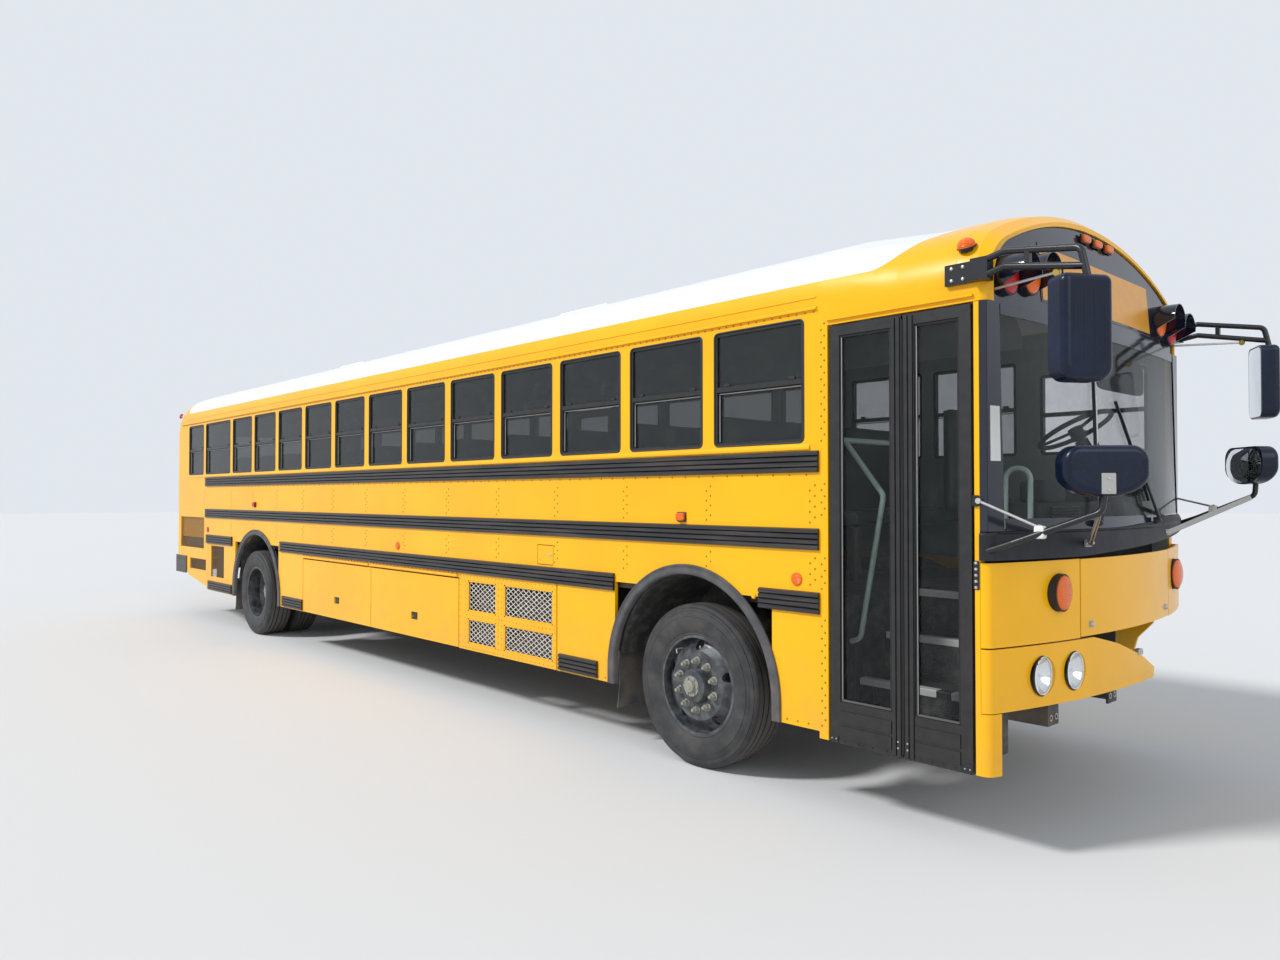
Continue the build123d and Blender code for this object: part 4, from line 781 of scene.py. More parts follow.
def tyres():
    """Every tyre as one turned section; twin tyres share a piece."""
    section = tyre_section()
    for side, word in SIDES:
        for x, track, node, finish in ((0.0, [FRONT_TRACK], "front_tyre", "tyre_front"),
                                       (-WHEELBASE, [REAR_MIDDLE - DUAL_GAP / 2, REAR_MIDDLE + DUAL_GAP / 2],
                                        "rear_tyres", "tyre_rear")):
            shape = Shape()
            for y in track:
                shape.sheet(turned(section, (x, side * y, TYRE_R), (0, side, 0), 160), ring=True, loop=True)
            body = f"front_wheel_{word}" if x == 0 else f"rear_wheels_{word}"
            shape.make(f"{node}_{word}_rubber", finish, body, [f"{node}_{word}"], "tyre")


def wheel_fittings():
    """Ten flanged nuts with their stud ends, the hub cap and the valve of every wheel."""
    nut = [(0.0, 0.030), (0.016, 0.030), (0.019, 0.026), (0.019, 0.006), (0.019, 0.0)]
    flange = [(0.0, 0.008), (0.022, 0.007), (0.025, 0.003), (0.025, 0.0)]
    stud = [(0.0, 0.047), (0.009, 0.046), (0.011, 0.043), (0.011, 0.025)]
    nuts, nut_circle = 10, 0.1435
    valve_circle, valve_turn = 0.245, 2.2
    for side, word in SIDES:
        for x, y, face, name, body in (
            (0.0, FRONT_TRACK, 0.108, "front", f"front_wheel_{word}"),
            (-WHEELBASE, REAR_MIDDLE, 0.010, "rear", f"rear_wheels_{word}"),
        ):
            shape = Shape()
            out = np.array([0, side, 0])
            centre = np.array([x, side * (y + face), TYRE_R])
            for k in range(nuts):
                a = math.radians(36 * k + 18)
                at = centre + nut_circle * np.array([math.cos(a), 0, math.sin(a)])
                shape.lathe(nut, at, out, 6)
                shape.lathe(flange, at, out, 16)
                shape.lathe(stud, at, out, 10)
            end = side * (y + (0.158 if name == "front" else 0.155))
            hub = np.array([x, end, TYRE_R])
            small, at_r = (6, 0.050) if name == "front" else (8, 0.078)
            for k in range(small):
                a = 2 * math.pi * k / small
                at = hub + at_r * np.array([math.cos(a), 0, math.sin(a)])
                shape.lathe([(0.0, 0.011), (0.008, 0.011), (0.009, 0.009), (0.009, -0.006)], at, out, 6)
            if name == "front":
                cap = [(0.0, 0.030), (0.016, 0.030), (0.018, 0.026), (0.030, 0.026), (0.034, 0.022),
                       (0.036, 0.004), (0.059, 0.004), (0.060, 0.0), (0.060, -0.004)]
            else:
                cap = [(0.0, 0.022), (0.030, 0.020), (0.038, 0.012), (0.040, 0.002), (0.088, 0.002),
                       (0.090, -0.004)]
            shape.lathe(cap, hub, out, 32)
            inward = 0.0 if name == "front" else 0.06
            valve = centre + np.array([valve_circle * math.cos(valve_turn), side * inward,
                                       valve_circle * math.sin(valve_turn)])
            stem = rounded([valve - out * 0.03, valve + out * 0.03,
                            valve + out * 0.045 + np.array([0.02, 0, -0.02])], 0.01)
            shape.solid(tube(stem, 0.0045, 8), 1)
            shape.make(f"{name}_wheel_nuts_{word}", ["nut_steel", "bright_steel"], body)


# Body sides
def lattice():
    """Expanded sheet: strands along both diagonals, cut to each opening, in a frame with ducts behind."""
    shape = Shape()
    wide, tall, strand, thick = 0.064, 0.037, 0.0065, 0.0025
    slope, border = tall / wide, 0.012
    outline = [(-thick / 2, -strand / 2), (thick / 2, -strand / 2), (thick / 2, strand / 2),
               (-thick / 2, strand / 2)]
    for side, openings in ((-1, RIGHT_MESHES + REAR_MESHES), (1, REAR_MESHES)):
        for x0, x1, z0, z1 in openings:
            for way in (1, -1):
                y = side * (HALF - 0.010 - (0.003 if way > 0 else 0.0))
                spread = (x1 - x0) * slope
                start = z0 - (spread if way > 0 else 0.0)
                for k in range(int((z1 - z0 + spread) / tall) + 1):
                    base = start + tall * (k + 0.5)
                    crossings = [(z0 - base) / (way * slope), (z1 - base) / (way * slope)]
                    a, b = sorted(np.clip(crossings, 0, x1 - x0))
                    if b - a < 0.01:
                        continue
                    ends = np.array([[x0 + a, y, base + way * slope * a],
                                     [x0 + b, y, base + way * slope * b]])
                    shape.solid(bar(ends, outline), 0 if x0 > -7 else 3)
            for low, high in (((x0, z0), (x1, z0 + border)), ((x0, z1 - border), (x1, z1)),
                              ((x0, z0), (x0 + border, z1)), ((x1 - border, z0), (x1, z1))):
                shape.solid(plate((low[0], side * (HALF - 0.006), low[1]),
                                  (high[0], side * (HALF - 0.002), high[1]), 0.001), 1)
            if x0 < -7:
                shape.solid(plate((x0 - 0.01, side * (HALF - 0.080), z0 - 0.01),
                                  (x1 + 0.01, side * (HALF - 0.075), z1 + 0.01)), 2)
    return shape.make("mesh_lattice", ["mesh_steel", "yellow_paint", "inner_black", "mesh_brown"], BODY,
                      ["grille_meshes"], "mesh_steel")


def side_rivets():
    """Rivet heads: staggered pairs of rows at the posts, single rows along rails, seams and openings."""
    shape = Shape()
    post_step, lid_step = 0.055, 0.050
    for side in (-1, 1):
        y = side * HALF
        out = (0, side, 0)
        rows = []
        for x in PILLARS + [FRONT_JAMB + 0.050]:
            for z0, z1 in ((1.125, 1.305), (1.445, 1.705)):
                count = int((z1 - z0) / post_step)
                for dx, shift in ((-0.016, 0.0), (0.016, 0.5)):
                    rows += [(x + dx, y, z0 + (k + shift) * post_step + 0.015) for k in range(count)]
        for z in 0.430 + 0.063 * np.arange(33):
            if all(abs(z + 0.015 - rail) > 0.080 for rail in RAIL_HEIGHTS):
                rows += [(0.955, y, z), (0.975, y, z + 0.0315)]
        rows += [(x, y, 2.546) for x in np.arange(-9.65, 0.92, post_step)]
        rows += [(x, y, 1.706) for x in np.arange(-8.60, 0.92, 0.110)]
        rows += [(x, y, 0.985) for x in np.arange(-5.56, -2.56, 0.065)]
        for x0, x1 in ((-8.62, -7.70), (-6.19, -5.60), (-1.24, -0.68), (0.66, 0.93)):
            rows += [(x, y, 0.425) for x in np.arange(x0, x1, 0.070)]
        places = np.array(rows)
        studs(shape, places, out, 0.0060)
    for x0, x1, z0, z1 in [(-2.531, -1.270, 0.400, 1.045), (-2.455, -1.964, 0.40, 1.0)]:
        spots = [(x, -HALF, z) for x in np.arange(x0 + 0.015, x1, lid_step) for z in (z0 + 0.018, z1 - 0.075)]
        spots += [(x, -HALF, z) for x in (x0 + 0.015, x1 - 0.015)
                  for z in np.arange(z0 + 0.05, z1 - 0.08, lid_step)]
        studs(shape, spots, (0, -1, 0), 0.0042)
    spots = [(x, -HALF, 0.672) for x in np.arange(-2.42, -1.29, 0.045)]
    spots += [(x, -HALF, z) for x in (-1.985, -1.940) for z in np.arange(0.45, 0.95, 0.045)]
    studs(shape, spots, (0, -1, 0), 0.0042)
    # The heads take the darker rivet finish, which holds painted shadow and grime.
    return shape.make("side_rivets", "rivet_yellow")


def roof_seams():
    """Overlapping roof sheets: a low lap and two rows of rivets across the roof at some posts."""
    shape = Shape()
    turns = np.linspace(-1, 1, 49)
    for x in [PILLARS[k] for k in (0, 2, 4, 6, 8, 10)] + [-9.40]:
        section = ((-0.034, -0.0004), (-0.028, 0.0004), (0.028, 0.0004), (0.034, -0.0004))
        lap = [[roof_point(x + dx, t, lift)[0] for dx, lift in section] for t in turns]
        shape.solid(np.array(lap))
        for dx in (-0.018, 0.018):
            found = [roof_point(x + dx, t, 0.0006) for t in np.linspace(-0.97, 0.97, 56)]
            studs(shape, [p for p, _ in found], [n for _, n in found], 0.0040)
    return shape.make("roof_seams", "white_paint")


def drip_mouldings():
    """Rolled gutter over the windows and the half-round bead above it."""
    shape = Shape()
    for side in (-1, 1):
        for z, r, x0, x1 in ((2.5675, 0.0065, -9.70, 0.93), (2.622, 0.0050, -9.45, 0.925)):
            path = np.array([[x0, side * (HALF + 0.001), z], [x1, side * (HALF + 0.001), z]])
            if z > SPRING:
                point, _ = roof_point(0, side * (1 - (z - SPRING) / 1.55))
                path[:, 1], path[:, 2] = point[1], point[2]
            shape.solid(tube(path, r, 10))
    return shape.make("drip_mouldings", "yellow_paint")


# Plates, gaskets and domes
def rounded_rect(width, height, radius, steps=5):
    """Outline of a rectangle whose corners are quarter circles, once round."""
    angle = np.linspace(0, math.pi / 2, steps)
    corners = []
    for k, (sx, sy) in enumerate(((1, 1), (-1, 1), (-1, -1), (1, -1))):
        t = angle + k * math.pi / 2
        corners.append(np.stack([sx * (width / 2 - radius) + radius * np.cos(t),
                                 sy * (height / 2 - radius) + radius * np.sin(t)], -1))
    return np.concatenate(corners)


def facing(direction):
    """Across and up vectors of a plane that faces right, left, front, rear or up."""
    return {"right": ((1, 0, 0), (0, 0, 1)), "left": ((-1, 0, 0), (0, 0, 1)), "front": ((0, 1, 0), (0, 0, 1)),
            "rear": ((0, -1, 0), (0, 0, 1)), "up": ((1, 0, 0), (0, 1, 0))}[direction]


def plaque(shape, centre, way, size, layers, slot=0):
    """A plate in rings: a rounded outline (width, height, radius), drawn in by an inset and raised."""
    across, up = (unit(v) for v in (facing(way) if isinstance(way, str) else way))
    out = np.cross(across, up)
    rings = []
    for inset, height in layers:
        flat = rounded_rect(size[0] - 2 * inset, size[1] - 2 * inset, max(size[2] - inset, 0.0005))
        rings.append(np.asarray(centre, float) + flat[:, :1] * across + flat[:, 1:] * up + out * height)
    return shape.solid(np.stack(rings), slot)


def gasket(shape, centre, way, size, section, slot=0):
    """A section (out of the sheet, away from the middle) carried once round a rounded outline."""
    across, up = (unit(v) for v in (facing(way) if isinstance(way, str) else way))
    out = np.cross(across, up)
    flat = rounded_rect(*size)
    path = np.asarray(centre, float) + flat[:, :1] * across + flat[:, 1:] * up
    outwards = np.cross(unit(np.roll(path, -1, 0) - np.roll(path, 1, 0)), out)
    section = np.asarray(section, float)
    grid = path[:, None] + out * section[None, :, :1] + outwards[:, None] * section[None, :, 1:]
    return shape.sheet(grid, slot, ring=True, loop=True)


def bead(radius, lift=0.0, sides=8):
    """Round section for a gasket: the radius by cosine out of the sheet, by sine across it."""
    t = np.arange(sides) * 2 * math.pi / sides
    return np.stack([lift + radius * np.cos(t), radius * np.sin(t)], -1)


def dome(shape, centre, axis, radius, height, skirt=0.004, slot=0, steps=32):
    """A lens: a short upright edge, then radius by cosine across and height by sine along the axis."""
    t = np.linspace(0, math.pi / 2, 7)
    arc = [(radius * math.cos(a), skirt + height * math.sin(a)) for a in t]
    return shape.lathe([(0.0, -0.002), (radius, -0.002)] + arc, centre, axis, steps, slot)


def collar(shape, centre, axis, radius, thick, slot=0, steps=32):
    """A ring of round section about an axis."""
    t = np.arange(8) * math.pi / 4
    section = np.stack([radius + thick * np.cos(t), thick * np.sin(t)], -1)
    return shape.sheet(turned(section, centre, axis, steps), slot, ring=True, loop=True)


def bowed(y, z, lift=0.0):
    """Points of the bowed front at places across and heights, lifted forward."""
    y, z = np.broadcast_arrays(np.asarray(y, float), np.asarray(z, float))
    return np.stack([front_x(y, z) + lift, y, z], -1)


# Windows
def window_spans():
    """Rear and front edge of every side window."""
    fronts = [FRONT_JAMB + 0.045] + PILLARS
    rears = PILLARS + [REAR_JAMB - 0.045]
    return [(rear + 0.045, front - 0.045) for front, rear in zip(fronts, rears)]


def window_trim():
    """Gaskets, bright meeting rails, glass channels and latches of the sliding windows, and their sills."""
    shape = Shape()
    middle_z = (WINDOW_LOW + WINDOW_TOP) / 2
    for side, way in SIDES:
        for k, (x0, x1) in enumerate(window_spans()):
            if side > 0 and k == EMERGENCY_BAY:
                continue
            centre = ((x0 + x1) / 2, side * (HALF - 0.003), middle_z)
            gasket(shape, centre, way, (x1 - x0 - 0.006, WINDOW_TOP - WINDOW_LOW - 0.006, 0.028), bead(0.006))
            y0, y1 = side * (HALF - 0.013), side * (HALF - 0.006)
            shape.solid(plate((x0 + 0.024, y0, middle_z + 0.004), (x1 - 0.024, y1, middle_z + 0.012)), 1)
            shape.solid(plate((x0 + 0.024, y0 - side * 0.008, middle_z - 0.026),
                              (x1 - 0.024, y1 - side * 0.008, middle_z - 0.019)), 1)
            shape.solid(plate((x0 + 0.025, y0 - side * 0.010, WINDOW_LOW + 0.03),
                              (x0 + 0.031, y1 - side * 0.010, middle_z - 0.03)), 1)
            for x in (x0 + 0.09, x1 - 0.09):
                plaque(shape, (x, side * (HALF - 0.016), middle_z + 0.024), way, (0.045, 0.018, 0.006),
                       [(0, 0), (0, 0.005), (0.002, 0.008)], 0)
        ledge = [(-0.001, -0.012), (0.007, -0.009), (0.010, 0.0), (0.008, 0.010), (-0.001, 0.020)]
        run = np.array([[REAR_JAMB + 0.02, side * HALF, 1.846], [FRONT_JAMB + 0.035, side * HALF, 1.846]])
        section = np.array(ledge) * (side, 1)
        grid = run[:, None] + np.stack([0 * section[:, 0], section[:, 0], section[:, 1]], -1)[None]
        shape.solid(grid, 2)
    return shape.make("window_trim", ["seal_rubber", "dull_aluminium", "yellow_paint"])


def door_trim():
    """Glazing beads, meeting seals and lower brackets of the two entrance leaves, one piece per leaf."""
    for front, body in ((True, "entrance_leaf_front"), (False, "entrance_leaf_rear")):
        low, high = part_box(body)
        x0, x1 = low.x - AXLE, high.x - AXLE
        shape = Shape()
        pane = (x1 - x0 - 2 * DOOR_STILE, DOOR_PANE[1] - DOOR_PANE[0], 0.004)
        centre = np.array([(x0 + x1) / 2, -HALF + 0.010, sum(DOOR_PANE) / 2])
        gasket(shape, centre, "right", (pane[0] - 0.006, pane[1] - 0.006, 0.006),
               [(0.007, 0.0), (0.004, 0.004), (-0.004, 0.004), (-0.004, -0.010), (0.001, -0.009)], 0)
        line = centre[0] - pane[0] / 2 + 0.010
        shape.solid(plate((line, -HALF + 0.002, DOOR_PANE[0] + 0.012),
                          (line + 0.004, -HALF + 0.008, DOOR_PANE[1] - 0.012)), 1)
        seal_x = x0 if front else x1
        step = -1 if front else 1
        for y in (-HALF - 0.002, -HALF + 0.020):
            path = np.array([[seal_x + step * 0.0015, y, low.z + 0.02],
                             [seal_x + step * 0.0015, y, high.z - 0.02]])
            shape.solid(tube(path, 0.0030, 8))
        hinge_x = x1 - 0.024 if front else x0 + 0.024
        plaque(shape, (hinge_x, -HALF - 0.001, low.z + 0.022), "right", (0.050, 0.036, 0.005),
               [(0, -0.004), (0, 0.002), (0.002, 0.004)], 2)
        bolts = [(hinge_x + dx, -HALF - 0.0045, low.z + 0.022) for dx in (-0.012, 0.012)]
        studs(shape, bolts, (0, -1, 0), 0.005, 3)
        for z in (low.z + 0.045, low.z + 0.075):
            studs(shape, [(seal_x - step * 0.020, -HALF - 0.0062, z)], (0, -1, 0), 0.0055, 3)
        kick = [(x, -HALF - 0.0008, low.z + 0.015) for x in np.linspace(x0 + 0.085, x1 - 0.085, 4)]
        studs(shape, kick, (0, -1, 0), 0.004, 2)
        shape.make(f"{body}_trim", ["seal_rubber", "dull_aluminium", "arm_black", "bright_steel"], body)


def step_edges():
    """White grip strips on the stair edges, each in two lengths with a black gap, and ribbed treads."""
    shape = Shape()
    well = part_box("step_well")
    x0, x1 = well[0].x - AXLE + 0.02, well[1].x - AXLE - 0.02
    for y, z in STEP_EDGES:
        section = np.array([(0.004, -0.030), (0.004, 0.0), (0.001, 0.004), (-0.050, 0.004), (-0.050, 0.0005),
                            (-0.001, 0.0005), (-0.001, -0.030)])
        for a, b, slot in ((x0, x0 + 0.44, 0), (x0 + 0.44, x0 + 0.52, 1), (x0 + 0.52, x1, 0)):
            ends = np.array([[a, y, z], [b, y, z]])
            grid = ends[:, None] + np.stack([0 * section[:, 0], -section[:, 0], section[:, 1]], -1)[None]
            shape.solid(grid, slot)
        for k in range(9):
            rib_y = y + 0.064 + 0.018 * k
            shape.solid(plate((x0, rib_y, z), (x1, rib_y + 0.007, z + 0.0025)), 1)
    return shape.make("step_edges", ["strip_white", "seal_rubber"])


# Arches
def flares():
    """Rubber flares: a beaded section carried up, round the arch and down; and curled mud flaps."""
    shape = Shape()
    section = np.array([(0.000, -0.025), (0.000, 0.007), (0.006, 0.013), (0.016, 0.015), (0.030, 0.012),
                        (0.042, 0.010), (0.046, 0.012), (0.051, 0.0155), (0.056, 0.0155), (0.0600, 0.010),
                        (0.0605, 0.003), (0.060, -0.0005), (0.012, -0.0005), (0.012, -0.025)])
    for x, z, radius in ARCHES:
        t = np.linspace(math.pi, 0, 49)
        points = np.concatenate([[(x - radius, 0.400)],
                                 np.stack([x + radius * np.cos(t), z + radius * np.sin(t)], -1),
                                 [(x + radius, 0.400)]])
        away = np.concatenate([[(-1, 0)], np.stack([np.cos(t), np.sin(t)], -1), [(1, 0)]])
        for side in (-1, 1):
            flat = points[:, None] + away[:, None] * section[None, :, :1]
            y = np.broadcast_to(side * (HALF + section[:, 1]), flat.shape[:2])
            shape.solid(np.stack([flat[..., 0], y, flat[..., 1]], -1))
    for x, y0, y1 in ((-0.705, 0.70, 1.13), (-7.695, 0.60, 1.17)):
        for side in (-1, 1):
            across, down = np.meshgrid(np.linspace(y0, y1, 12), np.linspace(0, 1, 14))
            curl = 0.030 * down**3 + 0.006 * np.sin(across * 23 + down * 4) * down
            grid = np.stack([x - curl, side * across, 0.600 - 0.380 * down], -1)
            shape.slab(grid, (-0.007, 0, 0), 0)
    return shape.make("wheel_flares", "rubber", BODY, ["fender_rubbers"], "rubber", soft=0.9)


# Lamps
def headlamps():
    """Sealed lamps: a bowl whose depth is radius squared over four focal lengths, bulb, lens and rings."""
    shape = Shape()
    focus = 0.032
    for y in HEADLAMPS:
        centre = (float(front_x(y, HEADLAMP_Z)) + 0.002, -y, HEADLAMP_Z)
        r = np.linspace(0, 0.079, 9)
        bowl = [(a, a * a / (4 * focus) - 0.052) for a in r] + [(0.084, -0.002)]
        outside = [(a + 0.004, a * a / (4 * focus) - 0.057) for a in r[::-1]]
        back = [(0.0865, -0.003)] + outside + [(0.0, -0.0575)]
        shape.lathe(bowl + back, centre, (1, 0, 0), 40)
        bulb = [(0.0, -0.010), (0.006, -0.012), (0.009, -0.018), (0.009, -0.046), (0.0, -0.048)]
        shape.lathe(bulb, centre, (1, 0, 0), 12)
        t = np.linspace(math.pi / 2, 0.0, 8)
        face = [(0.0815 * math.cos(a), 0.015 * math.sin(a) + 0.001) for a in t]
        inside = [(a * 0.97, h - 0.0045) for a, h in reversed(face)]
        shape.lathe(face + inside, centre, (1, 0, 0), 40, 1)
        collar(shape, centre, (1, 0, 0), 0.0840, 0.0040, 2, 40)
        collar(shape, np.array(centre) + (-0.004, 0, 0), (1, 0, 0), 0.0900, 0.0035, 3, 40)
    return shape.make("headlamp_sets", ["lamp_clear", "lens_clear", "lamp_clear", "seal_rubber"], BODY,
                      ["headlamps"], "lamp_clear")


def lamp_sets():
    """Domed lenses in rubber collars: turn signals, warning, stop and tail lamps, markers and reflectors."""
    amber, red = Shape(), Shape()
    for side in (-1, 1):
        for lens_shape, (y, z), lift in ((amber, TURN_SIGNAL, 0.020), (amber, AMBER_WARNING, 0.014),
                                         (red, RED_WARNING, 0.014)):
            x = float(front_x(y, z))
            dome(lens_shape, (x + lift, side * y, z), (1, 0, 0), 0.0800, 0.016)
            collar(lens_shape, (x + lift, side * y, z), (1, 0, 0), 0.0835, 0.0045, 1)
            lens_shape.lathe([(0.086, 0.0), (0.086, -0.040), (0.0, -0.040)], (x + lift, side * y, z),
                             (1, 0, 0), 32, 1)
        for lens_shape, y, z in ((amber, 0.830, 2.560), (amber, 0.830, 1.640), (red, 1.060, 2.560),
                                 (red, 1.050, 1.640)):
            centre = (BACK - 0.012, side * y, z)
            dome(lens_shape, centre, (-1, 0, 0), 0.0800, 0.018)
            collar(lens_shape, centre, (-1, 0, 0), 0.0850, 0.0060, 1)
            lens_shape.lathe([(0.0, -0.0125), (0.088, -0.0125), (0.088, 0.0), (0.0, 0.0)], centre,
                             (-1, 0, 0), 32, 1)
        for lens_shape, x, z in ((amber, 0.797, 1.163), (amber, -3.543 if side < 0 else -3.300, 1.163),
                                 (red, -8.605, 1.166)):
            dome(lens_shape, (x, side * (HALF + 0.001), z), (0, side, 0), 0.0340, 0.005, 0.005)
        for lens_shape, x0, x1, z0, z1 in ((amber, -0.085, -0.015, 1.446, 1.500),
                                           (red, -7.000, -6.925, 1.470, 1.524)):
            y0, y1 = sorted((side * (HALF + 0.003), side * (HALF + 0.026)))
            low, high = (x0 + 0.004, y0, z0 + 0.004), (x1 - 0.004, y1, z1 - 0.003)
            lens_shape.pillow(low, high, 5.0, 7.0, 10, 24)
            plaque(lens_shape, ((x0 + x1) / 2, side * HALF, (z0 + z1) / 2), "right" if side < 0 else "left",
                   (x1 - x0 + 0.004, z1 - z0 + 0.004, 0.006), [(0, -0.001), (0, 0.004), (0.002, 0.006)], 1)
        dome(red, (-9.790, side * 1.2062, 2.690), (0, side * 0.958, 0.287), 0.0360, 0.014, 0.010)
        foot = np.array([1.730, side * 1.172, 2.716])
        lean = unit((0.0, side * 0.45, 0.9))
        amber.lathe([(0.0, -0.010), (0.030, -0.010), (0.030, 0.006), (0.044, 0.008), (0.044, 0.012),
                     (0.0, 0.012)], foot, lean, 24, 1)
        dome(amber, foot + lean * 0.012, lean, 0.0410, 0.034, 0.006)
    for y in (-0.150, 0.0, 0.150):
        x = float(front_x(y, 2.90))
        low, high = (x - 0.004, y - 0.046, 2.912), (x + 0.016, y + 0.046, 2.949)
        amber.pillow(low, high, 3.5, 5.0, 12, 28)
        amber.solid(plate((x - 0.008, y - 0.050, 2.908), (x - 0.001, y + 0.050, 2.952)), 1)
    amber.make("amber_lenses", ["lamp_amber", "seal_rubber"], BODY, ["amber_lamps"], "lamp_amber", soft=0.9)
    red.make("red_lenses", ["lamp_red", "seal_rubber"], BODY, ["red_lamps"], "lamp_red", soft=0.9)


# Front
def front_dress():
    """Blank sign plate, dark borders of the windscreen and its corner posts, and the blank strip."""
    shape = Shape()
    low, high = SIGN_PLATE[1]
    shape.slab(bowed(np.linspace(*SIGN_PLATE[0], 25)[None, :], np.linspace(low, high, 5)[:, None], -0.0055),
               (-0.004, 0, 0), 1)
    shape.slab(bowed(np.linspace(SIGN_PLATE[0][0] - 0.012, SIGN_PLATE[0][1] + 0.012, 25)[None, :],
                     np.linspace(low - 0.012, high + 0.012, 5)[:, None], -0.0075), (-0.003, 0, 0), 0)
    for side in (-1, 1):
        border = bowed(side * np.linspace(1.118, 1.218, 6)[None, :],
                       np.linspace(SCREEN[0], SCREEN[1], 20)[:, None], 0.0010)
        shape.slab(border, (-0.002, 0, 0), 0)
        edge = np.broadcast_arrays(np.linspace(1.808, CORNER, 3)[None, :], side * (HALF + 0.0008),
                                   np.linspace(*SCREEN, 6)[:, None])
        shape.slab(np.stack(edge, -1), (0, -side * 0.0015, 0), 0)
    for z0, z1 in ((SCREEN[0], SCREEN[0] + 0.055), (SCREEN[1] - 0.050, SCREEN[1])):
        border = bowed(np.linspace(-1.105, 1.105, 33)[None, :], np.linspace(z0, z1, 3)[:, None], -0.0015)
        shape.slab(border, (-0.003, 0, 0), 0)
    shape.slab(bowed(np.linspace(-1.200, -1.135, 4)[None, :], np.linspace(1.752, 1.996, 5)[:, None], 0.0025),
               (-0.002, 0, 0), 2)
    return shape.make("front_dress", ["gloss_black", "sign_amber", "strip_white"])


def cowl_lip():
    """Turned-up edge of the cowl: it swells towards the buckled left end, with a fold where it gave way."""
    shape = Shape()
    y = np.linspace(-1.175, 1.175, 95)[None, :]
    t = np.linspace(0, 1, 7)[:, None]
    rise = 0.008 + 0.052 / (1 + np.exp(-(y - 0.35) * 5.0)) + 0.010 * np.exp(-(((y - 0.55) / 0.10) ** 2))
    wave = 0.007 * np.sin(y * 9.0 + 1.0) * (y > -0.3) * np.minimum(1, np.abs(y + 0.3) * 2)
    z = 1.430 + t * (rise + 0.4 * wave)
    forward = 0.0135 - 0.004 * t + 0.010 * np.sin(t * math.pi) + wave * t
    grid = bowed(y, z, 0.0) + np.stack([forward, 0 * z, 0 * z], -1)
    shape.slab(grid, (-0.004, 0, 0), 0)
    return shape.make("cowl_lip", "cowl_black", soft=0.9)


def wipers():
    """Two sprung arms on spindles, each with a blade that follows the bowed glass."""
    shape = Shape()
    for foot, knee, low, high in WIPERS:
        base = bowed(foot[0], foot[1], 0.020)
        shape.lathe([(0.0, 0.022), (0.012, 0.020), (0.016, 0.008), (0.018, -0.012), (0.0, -0.012)], base,
                    (1, 0, 0.3), 16)
        t = np.linspace(0, 1, 9)
        arm = bowed(foot[0] + (knee[0] - foot[0]) * t, foot[1] + (knee[1] - foot[1]) * t, 0.0)
        arm[:, 0] += 0.034 - 0.016 * t
        shape.solid(tube(arm, 0.0085 - 0.0035 * t, 8))
        blade = bowed(low[0] + (high[0] - low[0]) * t, low[1] + (high[1] - low[1]) * t, 0.007)
        shape.solid(bar(blade, [(-0.006, -0.007), (0.006, -0.007), (0.004, 0.007), (-0.004, 0.007)],
                        (1, 0, 0)))
        spine = blade[1:-1] + (0.010, 0, 0)
        shape.solid(tube(spine, 0.004, 6), 1)
    return shape.make("wipers", ["arm_black", "bright_steel"])


def torn_corner():
    """Crumpled end of the lower fascia: a strip folded in zigzag, and its bracket with two bolts."""
    shape = Shape()
    v = np.linspace(0, 1, 12)[:, None]
    u = np.linspace(0, 1, 26)[None, :]
    y = -0.010 + 0.255 * u + 0.010 * np.sin(v * 7)
    z = 0.815 - 0.100 * u - 0.150 * v * (1 - 0.45 * u)
    fold = 0.020 * np.abs(((u * 3.4 + v * 0.6) % 1.0) * 2 - 1) * (0.3 + u) - 0.030 * u * v
    grid = np.stack([front_x(y, z) - 0.020 - fold, y, z], -1)
    shape.slab(grid, (-0.002, 0, 0), 0)
    plaque(shape, (float(front_x(0.03, 0.8)) + 0.002, 0.030, 0.795), "front", (0.055, 0.030, 0.006),
           [(0, -0.02), (0, 0.003), (0.003, 0.006)], 1)
    studs(shape, [(float(front_x(0.03, 0.8)) + 0.008, y_, 0.795) for y_ in (0.015, 0.045)], (1, 0, 0),
          0.006, 1)
    return shape.make("torn_corner", ["yellow_paint", "bright_steel"], soft=0.35)


def panel_knobs():
    """Two round knobs of the service panel."""
    shape = Shape()
    for y in (-0.500, 0.500):
        x = float(front_x(y, 0.985))
        shape.lathe([(0.0, 0.014), (0.010, 0.012), (0.014, 0.006), (0.014, 0.0), (0.021, 0.0),
                     (0.021, -0.003), (0.0, -0.003)], (x + 0.001, y, 0.985), (1, 0, 0), 20)
    shape.make("panel_knobs", ["bright_steel"], "service_panel")


